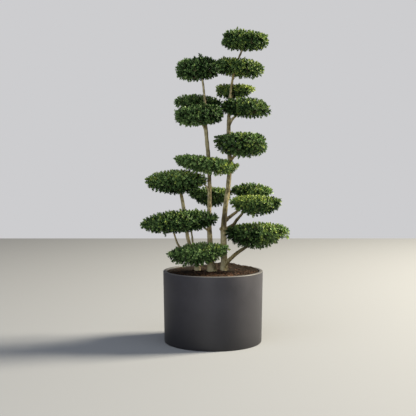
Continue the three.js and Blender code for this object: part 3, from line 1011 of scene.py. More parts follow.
@dataclass(frozen=True)
class Patch:
    """A place on the bark painted paler, as painted light, or darker, as painted shade, where the change is
    below 0.
    """

    centre: Place
    reach: float
    change: float

    def at(self, spot: Vector) -> float:
        """The patch's change at a point of the bark."""
        away = (spot - Vector(self.centre)).length / self.reach
        return self.change * math.exp(-away * away)


@dataclass
class Stem:
    """One stem with its boughs, under one skin of bark.

    Side light and shade is how much painted light pales its left flank and how much painted shade darkens
    its right flank.
    """

    name: str
    root: str
    knots: tuple[tuple[Place, float], ...] = ()
    patches: tuple[Patch, ...] = ()
    side_light_and_shade: tuple[float, float] = (0.2, 0.5)
    sides: int = 20
    ring_spacing: float = 9.0
    voxel: float = 2.5
    flare: float = 0.1
    flare_height: float = 28.0
    flare_ridges: tuple[float, float] = (0.45, 0.3)
    soil_height: float = 494.0
    collar: float = 0.38
    collar_length: float = 24.0
    BROAD_RELIEF = 1.1
    BROAD_SCALE = 0.021
    FURROW_RELIEF = 1.5
    FURROW_SCALES = (0.16, 0.035)
    RING_RELIEF = 0.5
    RING_SCALES = (0.02, 0.11)

    @property
    def limbs(self) -> list[Limb]:
        """The stem and the boughs that spring from it."""
        return [limb for limb in LIMBS if self.root in (limb.name, limb.parent)]

    def tube(self, limb: Limb) -> bpy.types.Mesh:
        """A cylinder whose rings are laid along the limb's centre line.

        Args:
            limb: The limb.

        Returns:
            The closed tube, in metres.
        """
        points, radii = limb.line(self.ring_spacing)
        along = unit(np.gradient(points, axis=0))
        first, second = across(along[:1])
        rings = len(points) - 1
        bm = bmesh.new()
        bmesh.ops.create_cone(
            bm, cap_ends=True, segments=self.sides, radius1=1.0, radius2=1.0, depth=1.0
        )
        upright = [edge for edge in bm.edges if abs(edge.verts[0].co.z - edge.verts[1].co.z) > 0.5]
        bmesh.ops.subdivide_edges(bm, edges=upright, cuts=rings - 1, use_grid_fill=True)
        right, front = first[0], second[0]
        frames = []
        for direction in along:
            right = unit(right - np.dot(right, direction) * direction)
            front = np.cross(direction, right)
            frames.append((right, front))
        travelled = np.concatenate([[0.0], np.cumsum(np.linalg.norm(np.diff(points, axis=0), axis=1))])
        for vert in bm.verts:
            ring = round((vert.co.z + 0.5) * rings)
            turn = math.atan2(vert.co.y, vert.co.x)
            size = radii[ring] * self.swelling(limb, turn, points[ring][2], travelled[ring])
            way = math.cos(turn) * frames[ring][0] + math.sin(turn) * frames[ring][1]
            vert.co = Vector((points[ring] + way * size) * MM)
        bmesh.ops.recalc_face_normals(bm, faces=bm.faces[:])
        mesh = bpy.data.meshes.new(limb.name)
        bm.to_mesh(mesh)
        bm.free()
        return mesh

    def swelling(self, limb: Limb, turn: float, height: float, travelled: float) -> float:
        """How much thicker than its route a limb is at one point of its skin.

        Args:
            limb: The limb.
            turn: The angle round the limb.
            height: The height above the planter's underside.
            travelled: The distance along the limb from its foot.

        Returns:
            A factor on the radius.
        """
        if limb.parent:
            return 1.0 + self.collar * math.exp(-((travelled / self.collar_length) ** 2))
        above = max(height - self.soil_height, 0.0)
        broad, fine = self.flare_ridges
        ridges = 1.0 + broad * math.cos(3.0 * turn + len(limb.name)) + fine * math.cos(5.0 * turn)
        return 1.0 + self.flare * math.exp(-above / self.flare_height) * ridges

    def build(self, finish: bpy.types.Material) -> bpy.types.Object:
        """Joins the limbs' tubes into one skin and gives it the bark's relief.

        Args:
            finish: The bark's material.

        Returns:
            The stem.
        """
        bm = bmesh.new()
        for limb in self.limbs:
            part = self.tube(limb)
            bm.from_mesh(part)
            bpy.data.meshes.remove(part)
        for centre, radius in self.knots:
            spot = Matrix.Translation(Vector(centre) * MM)
            bmesh.ops.create_icosphere(bm, subdivisions=3, radius=radius * MM, matrix=spot)
        raw = from_bmesh(self.name + "_raw", bm, finish)
        remesh = raw.modifiers.new("skin", "REMESH")
        remesh.mode = "VOXEL"
        remesh.voxel_size = self.voxel * MM
        shown = raw.evaluated_get(bpy.context.evaluated_depsgraph_get())
        bm = bmesh.new()
        bm.from_mesh(shown.to_mesh())
        shown.to_mesh_clear()
        bpy.data.objects.remove(raw)
        bmesh.ops.smooth_vert(
            bm, verts=bm.verts[:], factor=0.5, use_axis_x=True, use_axis_y=True, use_axis_z=True
        )
        bm.normal_update()
        weathering = bm.verts.layers.float.new(PAINTED_LIGHT_AND_SHADE)
        lifts = [(vert, vert.normal.copy(), self.relief(vert.co / MM)) for vert in bm.verts]
        # Each point of the bark gets its painted light and shade: the patches, painted light on the left
        # flank and painted shade on the right flank.
        for vert, normal, lift in lifts:
            side = normal.x * self.side_light_and_shade[normal.x > 0]
            vert[weathering] = sum(patch.at(vert.co / MM) for patch in self.patches) - side
            vert.co += normal * lift * MM
        return from_bmesh(self.name, bm, finish)

    def relief(self, spot: Vector) -> float:
        """How far the bark stands out at a point, in millimetres."""
        def scaled(round_it: float, along_it: float) -> Vector:
            """The point in a pattern with its own scale round and along the stem."""
            return Vector((spot.x * round_it, spot.y * round_it, spot.z * along_it))

        broad = noise.noise(spot * self.BROAD_SCALE)
        furrows = noise.turbulence(scaled(*self.FURROW_SCALES), 4, False)
        rings = noise.noise(scaled(*self.RING_SCALES))
        return self.BROAD_RELIEF * broad + self.FURROW_RELIEF * furrows + self.RING_RELIEF * rings


@dataclass(frozen=True)
class Beads:
    """Points along every limb, to keep leaves and twigs off them."""

    points: Array
    radii: Array
    BATCH = 4000

    @classmethod
    def along(cls, limbs: tuple[Limb, ...], spacing: float = 7.0) -> "Beads":
        """Strings beads along limbs."""
        lines = [limb.line(spacing) for limb in limbs]
        return cls(
            np.concatenate([line[0] for line in lines]), np.concatenate([line[1] for line in lines])
        )

    def near(self, centre: Array, reach: float) -> "Beads":
        """The beads within a distance of a point."""
        close = np.linalg.norm(self.points - centre, axis=1) < reach
        return Beads(self.points[close], self.radii[close])

    def clear(self, spots: Array, margin: float) -> Array:
        """Which spots are further from every bead than its radius and a margin.

        Args:
            spots: The spots, in rows.
            margin: The distance to keep.

        Returns:
            One truth value for each spot.
        """
        free = np.ones(len(spots), bool)
        for first in range(0, len(spots), self.BATCH):
            part = slice(first, first + self.BATCH)
            apart = np.linalg.norm(spots[part, None] - self.points[None], axis=2)
            free[part] = (apart > self.radii[None] + margin).all(axis=1)
        return free


# Foliage


# Eight directions round a pad's edge as seen from the front, from its right end
# over its top.
OUTLINE_TURNS = np.radians(np.arange(0, 360, 45))
OUTLINE_WAYS = unit(np.column_stack([
    np.cos(OUTLINE_TURNS), np.full(8, -0.2), np.sin(OUTLINE_TURNS)
]))


@dataclass(frozen=True)
class Pad:
    """A clipped mass of foliage.

    It reaches half its width to each side, half its depth to front and back, its
    rise above the centre and its drop below. Fullness runs from 1.8, lens-like, to
    3, blunt. Lean is in degrees, with the right end lower. Outline says how much
    further, or less far, the pad reaches in each of OUTLINE_WAYS. The painted end
    light is how much lighter, as painted light, or darker, as painted shade, the
    leaves at its left and right ends are than the plant's average, in tones. More_cool
    is added to the share of its bluish sprays, which are painted skylight. The painted
    top light is how much lighter the leaves at its top are, as painted light, and how
    much darker those below, as painted shade, in tones. Strays are sprays that the
    shears missed, each a direction and how far it stands out.
    """

    name: str
    seed: int
    centre: Place
    half_width: float
    half_depth: float
    rise: float
    drop: float
    fullness: float
    limb: str
    lean: float
    outline: tuple[float, ...]
    painted_end_light: tuple[float, float] = (0.0, 0.0)
    more_cool: float = 0.0
    painted_top_light: float = 0.0
    strays: tuple[tuple[float, float, float, float], ...] = ()
    LUMP_DEPTH = 0.05
    LUMP_TURN = 1.7
    END_LIGHT_PLACES = (-0.8, 0.8)
    OUTLINE_WIDTH = 0.15

    def turned(self, spots: Array, sense: float = 1.0) -> Array:
        """Spots turned about the depth axis by the pad's lean, or back by sense -1."""
        angle = math.radians(self.lean) * sense
        cosine, sine = math.cos(angle), math.sin(angle)
        x, y, z = spots.T
        return np.column_stack([x * cosine + z * sine, y, z * cosine - x * sine])

    def reach(self, ways: Array) -> Array:
        """How far the pad's edge lies along unit directions, where 1 is an ellipsoid."""
        blunt = (np.abs(ways) ** self.fullness).sum(axis=1) ** (-1 / self.fullness)
        x, y, z = ways.T
        phase = self.seed * self.LUMP_TURN
        wave = (
            np.sin(4.1 * x + 2.3 * y + phase)
            + np.sin(3.7 * y - 3.1 * z + 2 * phase)
            + np.sin(5.3 * x - 2.9 * y + 1.9 * z + 3 * phase)
        )
        reach = blunt * (1 + self.LUMP_DEPTH * wave / 3)
        near = np.exp((ways @ OUTLINE_WAYS.T - 1) / self.OUTLINE_WIDTH)
        return reach * np.prod(1 + near * np.array(self.outline), axis=1)

    def place(self, ways: Array, share: float = 1.0, inset: float | Array = 0.0) -> Array:
        """Places along unit directions from the pad's heart.

        Args:
            ways: The directions, in rows.
            share: The share of the way from the heart to the edge.
            inset: How far inside the pad's full size the edge is taken.

        Returns:
            The places, in rows.
        """
        height = np.where(ways[:, 2] > 0, self.rise, self.drop)
        inset = np.broadcast_to(inset, height.shape)
        halves = np.column_stack([
            self.half_width - inset, self.half_depth - inset, height - inset
        ])
        spots = ways * halves * (self.reach(ways) * share)[:, None]
        return self.turned(spots) + np.array(self.centre)

    def outward(self, spots: Array) -> Array:
        """Which way the pad's skin faces nearest to each spot."""
        local = self.turned(spots - np.array(self.centre), -1.0)
        height = np.where(local[:, 2] > 0, self.rise, self.drop)
        halves = np.column_stack([
            np.full(len(local), self.half_width), np.full(len(local), self.half_depth), height
        ])
        shares = local / halves
        slope = np.sign(shares) * np.abs(shares) ** (self.fullness - 1) / halves
        return self.turned(unit(slope))

    def lightness(self, spots: Array) -> Array:
        """How much painted light lightens, and painted shade darkens, the leaves at some spots against the
        plant's average.
        """
        across_pad = (spots[:, 0] - self.centre[0]) / self.half_width
        above = (spots[:, 2] - self.centre[2]) / (self.rise + self.drop) * 2.0
        return np.interp(across_pad, self.END_LIGHT_PLACES, self.painted_end_light) + self.painted_top_light * above

    def skin_area(self) -> float:
        """The rough area of the pad's skin: its two faces and the band round them."""
        faces = 2 * math.pi * self.half_width * self.half_depth
        return faces + math.pi * (self.half_width + self.half_depth) * (self.rise + self.drop) / 2


PADS = (
    Pad("top_right", 1, (220, 60, 2122), 176, 132, 60, 77, 2.5, "trunk_right", 4.7,
        painted_end_light=(-0.1, -0.25), painted_top_light=-0.5,
        outline=(0, -0.05, -0.11, 0, -0.28, 0.16, 0, 0),
        strays=((-0.33, -0.3, 1, 12), (-0.2, -0.3, 1, 8))),
    Pad("top_left", 2, (-111, -68, 1895), 146, 134, 79, 74, 2.9, "trunk_left", -5.2,
        painted_end_light=(0.25, -1.9), painted_top_light=-0.8,
        outline=(0.08, -0.05, 0, -0.04, 0, 0, 0.03, 0.04),
        strays=((0.15, -0.3, 1, 12), (0.25, -0.2, 1, 9))),
    Pad("upper_right", 3, (183, 90, 1935), 179, 130, 58, 76, 2.4, "bough_upper_right", 6.1,
        painted_end_light=(0.2, 0.0), painted_top_light=-0.4,
        outline=(0, -0.11, -0.09, -0.13, 0, 0, -0.05, 0.04),
        strays=((0.2, -0.3, 1, 9),)),
    Pad("upper_right_back", 4, (149, 190, 1788), 130, 115, 33, 68, 2.7, "bough_upper_right_back", -0.8,
        painted_end_light=(1.4, 1.0), painted_top_light=1.2,
        outline=(0.24, -0.18, -0.27, 0.04, -0.06, 0.03, 0.11, -0.07)),
    Pad("upper_left_back", 5, (-112, 130, 1685), 179, 120, 59, 56, 1.9, "bough_upper_left_back", 1.8,
        painted_end_light=(0.8, -0.8), painted_top_light=-0.3,
        outline=(0.06, -0.08, -0.09, 0, -0.08, 0.07, 0, 0)),
    Pad("upper_left_front", 6, (-91, -90, 1592), 170, 135, 54, 81, 2.8, "bough_upper_left_front", -4.1,
        painted_end_light=(-0.1, -1.75), painted_top_light=-1.0,
        outline=(-0.14, 0, 0, -0.03, 0, 0, 0, 0),
        strays=((-0.6, -0.3, -1, 10),)),
    Pad("middle_right", 7, (222, 20, 1644), 176, 142, 70, 73, 1.9, "bough_middle_right", 1.4,
        painted_end_light=(-1.1, -0.5), painted_top_light=-0.8,
        outline=(-0.04, 0, -0.13, 0, 0, 0.05, -0.07, 0.23)),
    Pad("waist_right", 8, (205, 15, 1420), 166, 150, 50, 103, 2.8, "bough_waist_right", 2.8,
        painted_end_light=(0.25, -0.4), more_cool=0.35,
        outline=(-0.05, -0.04, -0.03, -0.36, 0.2, 0.15, 0.15, 0.16),
        strays=((-1, -0.1, 0.1, 8),)),
    Pad("waist_left", 9, (-58, -70, 1264), 220, 150, 32, 68, 3, "bough_waist_left", 7.8,
        painted_end_light=(0.45, 0.4), painted_top_light=-0.4,
        outline=(-0.05, -0.04, 0.05, -0.22, 0, -0.15, 0.24, 0.07),
        strays=((1, -0.15, 0.1, 26), (0.95, -0.3, -0.2, 16), (1, -0.3, 0.28, 26), (1, 0, -0.05, 16))),
    Pad("low_left", 10, (-254, -75, 1138), 208, 165, 73, 99, 1.9, "stem_far_left", -0.9,
        painted_end_light=(0.6, -0.1), more_cool=-0.4, painted_top_light=1.2,
        outline=(0.03, -0.1, -0.06, -0.08, 0, 0.05, 0, 0.03),
        strays=((-0.05, -0.4, -1, 10),)),
    Pad("low_centre_back", 11, (-13, 205, 1045), 167, 125, 33, 110, 1.8, "bough_low_centre_back", -0.7,
        outline=(0, -0.06, 0.1, 0, 0.03, -0.12, 0.05, -0.07)),
    Pad("low_right_back", 12, (278, 190, 1054), 154, 108, 56, 67, 1.8, "bough_low_right_back", 2.5,
        painted_end_light=(0.0, 0.4), more_cool=0.6, painted_top_light=-0.8,
        outline=(0.11, 0, 0, 0, 0, 0.02, 0, -0.09)),
    Pad("low_right_front", 13, (293, -85, 994), 175, 145, 35, 97, 2, "bough_low_right_front", 0.7,
        painted_end_light=(0.6, -0.3),
        outline=(0, -0.04, 0, 0, 0.06, 0, 0.04, 0.05),
        strays=((-0.1, -0.4, -1, 14), (1, -0.2, 0.3, 8))),
    Pad("skirt_left", 14, (-236, -115, 851), 261, 165, 80, 75, 2, "stem_thin", -4,
        painted_end_light=(-0.1, -1.4), more_cool=-0.5,
        outline=(0, 0, -0.05, -0.05, 0, 0.08, -0.03, 0),
        strays=((0.52, -0.2, 1, 14), (-0.38, -0.5, -1, 22), (1, -0.1, 0.1, 8))),
    Pad("skirt_right", 15, (297, -25, 782), 226, 165, 56, 111, 1.8, "bough_skirt_right", -1.6,
        painted_end_light=(-1.2, 0.45), more_cool=0.4,
        outline=(0.03, 0.1, -0.1, 0.04, -0.12, 0.06, 0.14, 0.02),
        strays=((-0.6, -0.3, -1, 12), (0.95, -0.3, -0.4, 24), (0.9, 0, -0.45, 26), (1, -0.1, -0.25, 14))),
    Pad("foot_front", 16, (-101, -185, 658), 205, 136, 55, 92, 1.8, "bough_foot_front", -4.7,
        outline=(0.07, -0.02, -0.08, -0.17, 0.06, 0.14, 0.06, 0.04),
        strays=((-0.55, -0.3, -1, 10), (1, -0.2, 0.3, 10))),
)


@dataclass(frozen=True)
class TwigLevel:
    """One level of branching inside a pad: one twig to so much of the pad's skin."""

    area: float
    share: float
    thickness: float


@dataclass(frozen=True)
class SprayKind:
    """What the sprays of one layer are like.

    Opening is the angle between a leaf and its shoot, at the shoot's foot and at its
    tip, in degrees. Tones are those painted on the leaves, from painted shade where
    the skin faces away from the painted sunlight to painted sunlight where it faces it.
    """

    spacing: float
    inset: float
    leaves: int
    shoot: float
    leaf_length: float
    opening: tuple[float, float]
    tones: tuple[float, float]


@dataclass(frozen=True)
class Tufts:
    """The tufts that the outer sprays stand in, with creases between them."""

    spacing: float = 47.0
    inset: float = 31.0
    thickness: float = 4.2
    crease_depth: float = 17.0
    crease_width: float = 9.0
    crease_shade: float = 1.3
    variety: float = 0.34


@dataclass(frozen=True)
class Habit:
    """How evenly and how straight everything in a pad grows.

    Lengths and diameters are in millimetres and angles in radians. Jitter, wander,
    kink and variety are how far a random amount spreads, and a bend is a share of a
    twig's length. Clearances are kept from the limbs. Pull says how much a shoot
    follows the pad's skin, its twig and the way up, and facing how much a leaf's face
    follows its shoot, the skin and the way up. The painted sunlight numbers are the
    light painted on leaves on an upright skin, and how much more is painted on top
    and at the right.
    """

    pole_evenness: float = 0.62
    tries: int = 9
    turn_jitter: float = 0.6
    thin_below: float = -0.3
    thinning: float = 1.12
    twig_jitter: float = 0.25
    twig_taper: float = 0.6
    twig_sides: int = 5
    twig_bend: float = 0.06
    stem_rise: float = 4.0
    stem_taper: float = 0.92
    stem_sides: int = 8
    heart_thickness: float = 12.0
    fork_share: float = 0.6
    bead_margin: float = 80.0
    tuft_sides: int = 4
    tuft_bend: float = 0.05
    long_share: float = 0.05
    long_by: tuple[float, float] = (3.0, 9.0)
    stray_lightness: float = 0.5
    clipping_jitter: float = 2.4
    pull: tuple[float, float, float] = (0.8, 0.5, 0.1)
    shoot_wander: float = 0.2
    shoot_lengths: tuple[float, float] = (0.85, 1.15)
    shoot_kink: float = 0.8
    shoot_sides: int = 3
    shoot_radii: tuple[float, float, float] = (0.9, 0.75, 0.45)
    tip_clearance: float = 4.0
    root_clearance: float = 2.0
    stalk_thickness: tuple[float, float] = (2.6, 1.8)
    painted_sun: tuple[float, float, float] = (0.49, 0.38, 0.26)
    spray_variety: float = 0.45
    bare_foot: float = 0.22
    leaf_angle_wander: float = 0.16
    leaf_lift: float = 0.06
    leaf_wander: float = 0.10
    facing: tuple[float, float, float] = (0.55, 0.55, 0.5)
    facing_wander: float = 0.3
    tip_leaf_smaller: float = 0.32
    leaf_sizes: tuple[float, float] = (0.82, 1.15)
    leaf_slimness: float = 0.43
    leaf_widths: tuple[float, float] = (0.9, 1.1)
    young_from: float = 0.7
    young_lighter: float = 0.8
    leaf_variety: float = 0.75
    leaf_clearance: float = 3.0
    leaf_tip_clearance: float = 1.0


HABIT = Habit()
TWIG_LEVELS = (
    TwigLevel(64000, 0.45, 13),
    TwigLevel(21000, 0.68, 8.5),
    TwigLevel(5200, 0.84, 5.0),
)
TUFTS = Tufts()
# Outer sprays run from painted shade under a pad to painted sunlight on its top and right; inner sprays get
# only the darkest tones, as painted shade inside the pad.
OUTER_SPRAYS = SprayKind(21.0, 0.5, 21, 34.0, 18.0, (68.0, 24.0), (1.3, 3.15))
INNER_SPRAYS = SprayKind(25.0, 28.0, 12, 30.0, 30.0, (88.0, 64.0), (0.0, 0.6))

LEAF_POINTS = np.array([
    (0.0, 0.0, 0.0), (0.30, 0.46, -0.16), (0.70, 0.42, -0.20), (1.0, 0.0, -0.10),
    (0.70, -0.42, -0.20), (0.30, -0.46, -0.16),
])
LEAF_FACES = np.array([(0, 3, 1), (1, 3, 2), (3, 0, 5), (3, 5, 4)])
# Two places from left to right, and the share of sprays with bluish leaves, painted skylight, at each.
COOL_SHARE = ((-120.0, 210.0), (1.0, 0.0))


@dataclass
class Foliage:
    """The twigs and leaves of one pad, grown level by level from its limb's tip."""

    pad: Pad
    beads: Beads
    rng: np.random.Generator = field(init=False)
    twigs: TriangleSoup = field(default_factory=TriangleSoup)
    leaves: TriangleSoup = field(default_factory=TriangleSoup)

    def __post_init__(self) -> None:
        """Seeds the pad's random numbers and keeps only the beads near it."""
        self.rng = np.random.default_rng(self.pad.seed)
        reach = self.pad.half_width + HABIT.bead_margin
        self.beads = self.beads.near(np.array(self.pad.centre), reach)

    def ways(self, count: int, jitter: float) -> Array:
        """Directions spread evenly round the pad.

        Args:
            count: How many.
            jitter: How far each turns from its even place, in radians.

        Returns:
            Unit directions, in rows.
        """
        level = 1 - (2 * np.arange(count) + 1) / count
        z = np.sign(level) * np.abs(level) ** HABIT.pole_evenness
        flat = np.sqrt(1 - z * z)
        turn = self.rng.random() * 2 * math.pi + np.arange(count) * GOLDEN_ANGLE
        turn += (2 * self.rng.random(count) - 1) * jitter
        return np.column_stack([flat * np.cos(turn), flat * np.sin(turn), z])

    def even_ways(self, spacing: float, inset: float) -> Array:
        """Directions whose places on the skin keep a distance from each other.

        Args:
            spacing: The distance.
            inset: How far inside the edge the places are.

        Returns:
            Unit directions, in rows.
        """
        tries = self.ways(int(HABIT.tries * self.pad.skin_area() / spacing**2), HABIT.turn_jitter)
        self.rng.shuffle(tries)
        spots = self.pad.place(tries, 1.0, inset)
        kept: list[int] = []
        taken = np.empty((len(tries), 3))
        for number, spot in enumerate(spots):
            apart = spacing * (HABIT.thinning if tries[number, 2] < HABIT.thin_below else 1.0)
            if not kept or ((taken[:len(kept)] - spot) ** 2).sum(axis=1).min() > apart**2:
                taken[len(kept)] = spot
                kept.append(number)
        return tries[kept]

    def join(self, tips: Array, forks: Array, thick: float, thin: float, sides: int, bend: float) -> None:
        """Adds a curved twig from the nearest fork to each tip.

        Args:
            tips: Where the twigs end.
            forks: Where they may start.
            thick: Their diameter at the fork.
            thin: Their diameter at the tip.
            sides: Their sides.
            bend: How far they bow, as a share of their length.
        """
        apart = np.linalg.norm(tips[:, None] - forks[None], axis=2)
        roots = forks[apart.argmin(axis=1)]
        length = apart.min(axis=1)[:, None]
        shares = np.array([0.0, 0.5, 1.0])[:, None]
        bow = self.rng.normal(0, 1, (len(tips), 3)) * length * bend
        bow[:, 2] -= length[:, 0] * bend
        paths = roots[:, None] * (1 - shares) + tips[:, None] * shares
        paths[:, 1] += bow
        radii = np.array([thick, 0.5 * (thick + thin), thin]) / 2
        clear = self.beads.clear(paths[:, 1], thin) & self.beads.clear(tips, thin)
        if clear.any():
            points, faces = tubes(paths[clear], np.tile(radii, (clear.sum(), 1)), sides)
            self.twigs.add(points, faces)

    def grow(self) -> None:
        """Grows the stem, the twigs, the inner leaves and the clipped outer sprays."""
        limb = next(limb for limb in LIMBS if limb.name == self.pad.limb)
        foot = np.array(limb.route[-1][:3], float)
        heart = np.array(self.pad.centre, float)
        thick = limb.route[-1][3]
        stem = np.stack([foot, foot * 0.5 + heart * 0.5 + UP * HABIT.stem_rise, heart])[None]
        radii = np.array([[thick, thick * HABIT.stem_taper, HABIT.heart_thickness]]) / 2
        self.twigs.add(*tubes(stem, radii, HABIT.stem_sides))
        forks = np.stack([heart, foot * (1 - HABIT.fork_share) + heart * HABIT.fork_share])
        for level in TWIG_LEVELS:
            ways = self.ways(round(self.pad.skin_area() / level.area), HABIT.twig_jitter)
            tips = self.pad.place(ways, level.share)
            tips = tips[self.beads.clear(tips, level.thickness)]
            thin = level.thickness * HABIT.twig_taper
            self.join(tips, forks, level.thickness, thin, HABIT.twig_sides, HABIT.twig_bend)
            forks = tips
        inner = self.even_ways(INNER_SPRAYS.spacing, INNER_SPRAYS.inset)
        inset, shade = np.full(len(inner), INNER_SPRAYS.inset), np.zeros(len(inner))
        self.spray_layer(INNER_SPRAYS, forks, inner, inset, shade)
        self.outer_layer(forks)

    def outer_layer(self, forks: Array) -> None:
        """Adds the tufts' twigs and the clipped sprays that stand on them.

        Args:
            forks: The twig tips that the tufts spring from.
        """
        middles = self.even_ways(TUFTS.spacing, 0.0)
        crowns = self.pad.place(middles)
        roots = self.pad.place(middles, 1.0, TUFTS.inset)
        thin = TUFTS.thickness * HABIT.twig_taper
        self.join(roots, forks, TUFTS.thickness, thin, HABIT.tuft_sides, HABIT.tuft_bend)
        ways = self.even_ways(OUTER_SPRAYS.spacing, 0.0)
        spots = self.pad.place(ways)
        apart = np.linalg.norm(spots[:, None] - crowns[None], axis=2)
        own = apart.argmin(axis=1)
        closest = np.partition(apart, 1, axis=1)
        crease = np.exp((closest[:, 0] - closest[:, 1]) / TUFTS.crease_width)
        inset = OUTER_SPRAYS.inset + TUFTS.crease_depth * crease
        offsets = self.rng.normal(0, TUFTS.variety, len(crowns))
        shade = offsets[own] - TUFTS.crease_shade * crease
        long_ones = self.rng.random(len(ways)) < HABIT.long_share
        inset[long_ones] -= self.rng.uniform(*HABIT.long_by, long_ones.sum())
        if self.pad.strays:
            rows = np.array(self.pad.strays, float)
            ways = np.vstack([ways, unit(rows[:, :3])])
            inset = np.concatenate([inset, OUTER_SPRAYS.inset - rows[:, 3]])
            shade = np.concatenate([shade, np.full(len(rows), HABIT.stray_lightness)])
        self.spray_layer(OUTER_SPRAYS, roots, ways, inset, shade)

    def spray_layer(
        self, kind: SprayKind, forks: Array, ways: Array, inset: Array, shade: Array
    ) -> None:
        """Adds one layer of sprays, each on its own shoot.

        Args:
            kind: What the sprays are like.
            forks: The twig tips that the shoots spring from.
            ways: The directions of the shoots' tips.
            inset: How far inside the pad's edge each tip ends.
            shade: How much lighter than its kind each spray is.
        """
        inset = inset + self.rng.normal(0, HABIT.clipping_jitter, len(ways))
        tips = self.pad.place(ways, 1.0, inset)
        outward = self.pad.outward(tips)
        apart = np.linalg.norm(tips[:, None] - forks[None], axis=2)
        away = unit(tips - forks[apart.argmin(axis=1)])
        wander = self.rng.normal(0, HABIT.shoot_wander, (len(tips), 3))
        from_skin, from_twig, upward = HABIT.pull
        heading = unit(from_skin * outward + from_twig * away + upward * UP + wander)
        length = kind.shoot * self.rng.uniform(*HABIT.shoot_lengths, len(tips))
        roots = tips - heading * length[:, None]
        clear = self.beads.clear(tips, HABIT.tip_clearance)
        clear &= self.beads.clear(roots, HABIT.root_clearance)
        tips, heading, length, roots = tips[clear], heading[clear], length[clear], roots[clear]
        outward, shade = outward[clear], shade[clear]
        self.join(roots, forks, *HABIT.stalk_thickness, HABIT.shoot_sides, HABIT.tuft_bend)
        middle = (roots + tips) / 2 + self.rng.normal(0, HABIT.shoot_kink, tips.shape)
        paths = np.stack([roots, middle, tips], axis=1)
        radii = np.tile(HABIT.shoot_radii, (len(tips), 1))
        self.twigs.add(*tubes(paths, radii, HABIT.shoot_sides))
        # The spray's painted light and shade: from its facing, the creases and the pad's painted ends and
        # top.
        tones = self.tones(kind, outward) + shade + self.pad.lightness(tips)
        # Bluish sprays, as painted skylight, are most on the left.
        cool_share = np.interp(tips[:, 0], *COOL_SHARE) + self.pad.more_cool
        cool = self.rng.random(len(tips)) < cool_share
        self.add_leaves(kind, roots, heading, length, outward, tones, cool)

    def tones(self, kind: SprayKind, outward: Array) -> Array:
        """How light each spray is painted, with painted sunlight on skin that faces up and to the right, as
        a number that Tone's values round.

        Args:
            kind: What the sprays are like.
            outward: Which way the pad's skin faces at each spray.

        Returns:
            One number for each spray.
        """
        low, high = kind.tones
        upright, on_top, at_right = HABIT.painted_sun
        # Painted sunlight: lighter where the skin faces up and to the right, painted shade where it faces
        # down.
        painted_sunlight = np.clip(upright + on_top * outward[:, 2] + at_right * outward[:, 0], 0, 1)
        chance = self.rng.normal(0, HABIT.spray_variety, len(outward))
        return low + (high - low) * painted_sunlight + chance

    def add_leaves(
        self, kind: SprayKind, roots: Array, heading: Array, length: Array, outward: Array,
        tones: Array, cool: Array
    ) -> None:
        """Sets leaves in a spiral round every shoot.

        Args:
            kind: What the sprays are like.
            roots: Where the shoots start.
            heading: Their unit directions.
            length: Their lengths.
            outward: Which way the pad's skin faces at each.
            tones: How light each spray is.
            cool: Whether its two lightest tones are the bluish copies, painted skylight.
        """
        first, second = across(heading)
        by_shoot, by_skin, upward = HABIT.facing
        phase = self.rng.random(len(roots)) * 2 * math.pi
        for number in range(kind.leaves):
            share = (number + 0.5) / kind.leaves
            turn = (phase + number * GOLDEN_ANGLE)[:, None]
            radial = np.cos(turn) * first + np.sin(turn) * second
            opening = math.radians(kind.opening[0] * (1 - share) + kind.opening[1] * share)
            open_angle = opening + self.rng.normal(0, HABIT.leaf_angle_wander, (len(roots), 1))
            along = unit(
                np.cos(open_angle) * heading + np.sin(open_angle) * radial
                + HABIT.leaf_lift * UP + self.rng.normal(0, HABIT.leaf_wander, roots.shape)
            )
            up_shoot = HABIT.bare_foot + (1 - HABIT.bare_foot) * share
            base = roots + heading * (length * up_shoot)[:, None]
            wander = self.rng.normal(0, HABIT.facing_wander, roots.shape)
            facing = by_shoot * heading + by_skin * outward + upward * UP + wander
            side = unit(np.cross(facing, along))
            face = np.cross(along, side)
            typical = kind.leaf_length * (1.0 - HABIT.tip_leaf_smaller * share)
            size = typical * self.rng.uniform(*HABIT.leaf_sizes, len(roots))
            wide = size * HABIT.leaf_slimness * self.rng.uniform(*HABIT.leaf_widths, len(roots))
            young = HABIT.young_lighter if share > HABIT.young_from else 0.0
            tone = tones + young + self.rng.normal(0, HABIT.leaf_variety, len(roots))
            kinds = np.clip(np.round(tone), Tone.DEEP_SHADE.value, Tone.BRIGHT_SUNLIT.value).astype(int)
            kinds[cool & (kinds >= Tone.FRESH_SUNLIT.value)] += Tone.FRESH_SKYLIT.value - Tone.FRESH_SUNLIT.value
            ends = base + along * size[:, None]
            clear = self.beads.clear(base + along * (size * 0.6)[:, None], HABIT.leaf_clearance)
            clear &= self.beads.clear(ends, HABIT.leaf_tip_clearance)
            points = (
                base[:, None]
                + LEAF_POINTS[None, :, :1] * (along * size[:, None])[:, None]
                + LEAF_POINTS[None, :, 1:2] * (side * wide[:, None])[:, None]
                + LEAF_POINTS[None, :, 2:] * (face * wide[:, None])[:, None]
            )
            self.leaves.add(points[clear], LEAF_FACES, kinds[clear])


# Studio


@dataclass(frozen=True)
class Softbox:
    """A square lamp that shines at the plant."""

    name: str
    place: Place
    size: float
    power: float
    colour: Colour


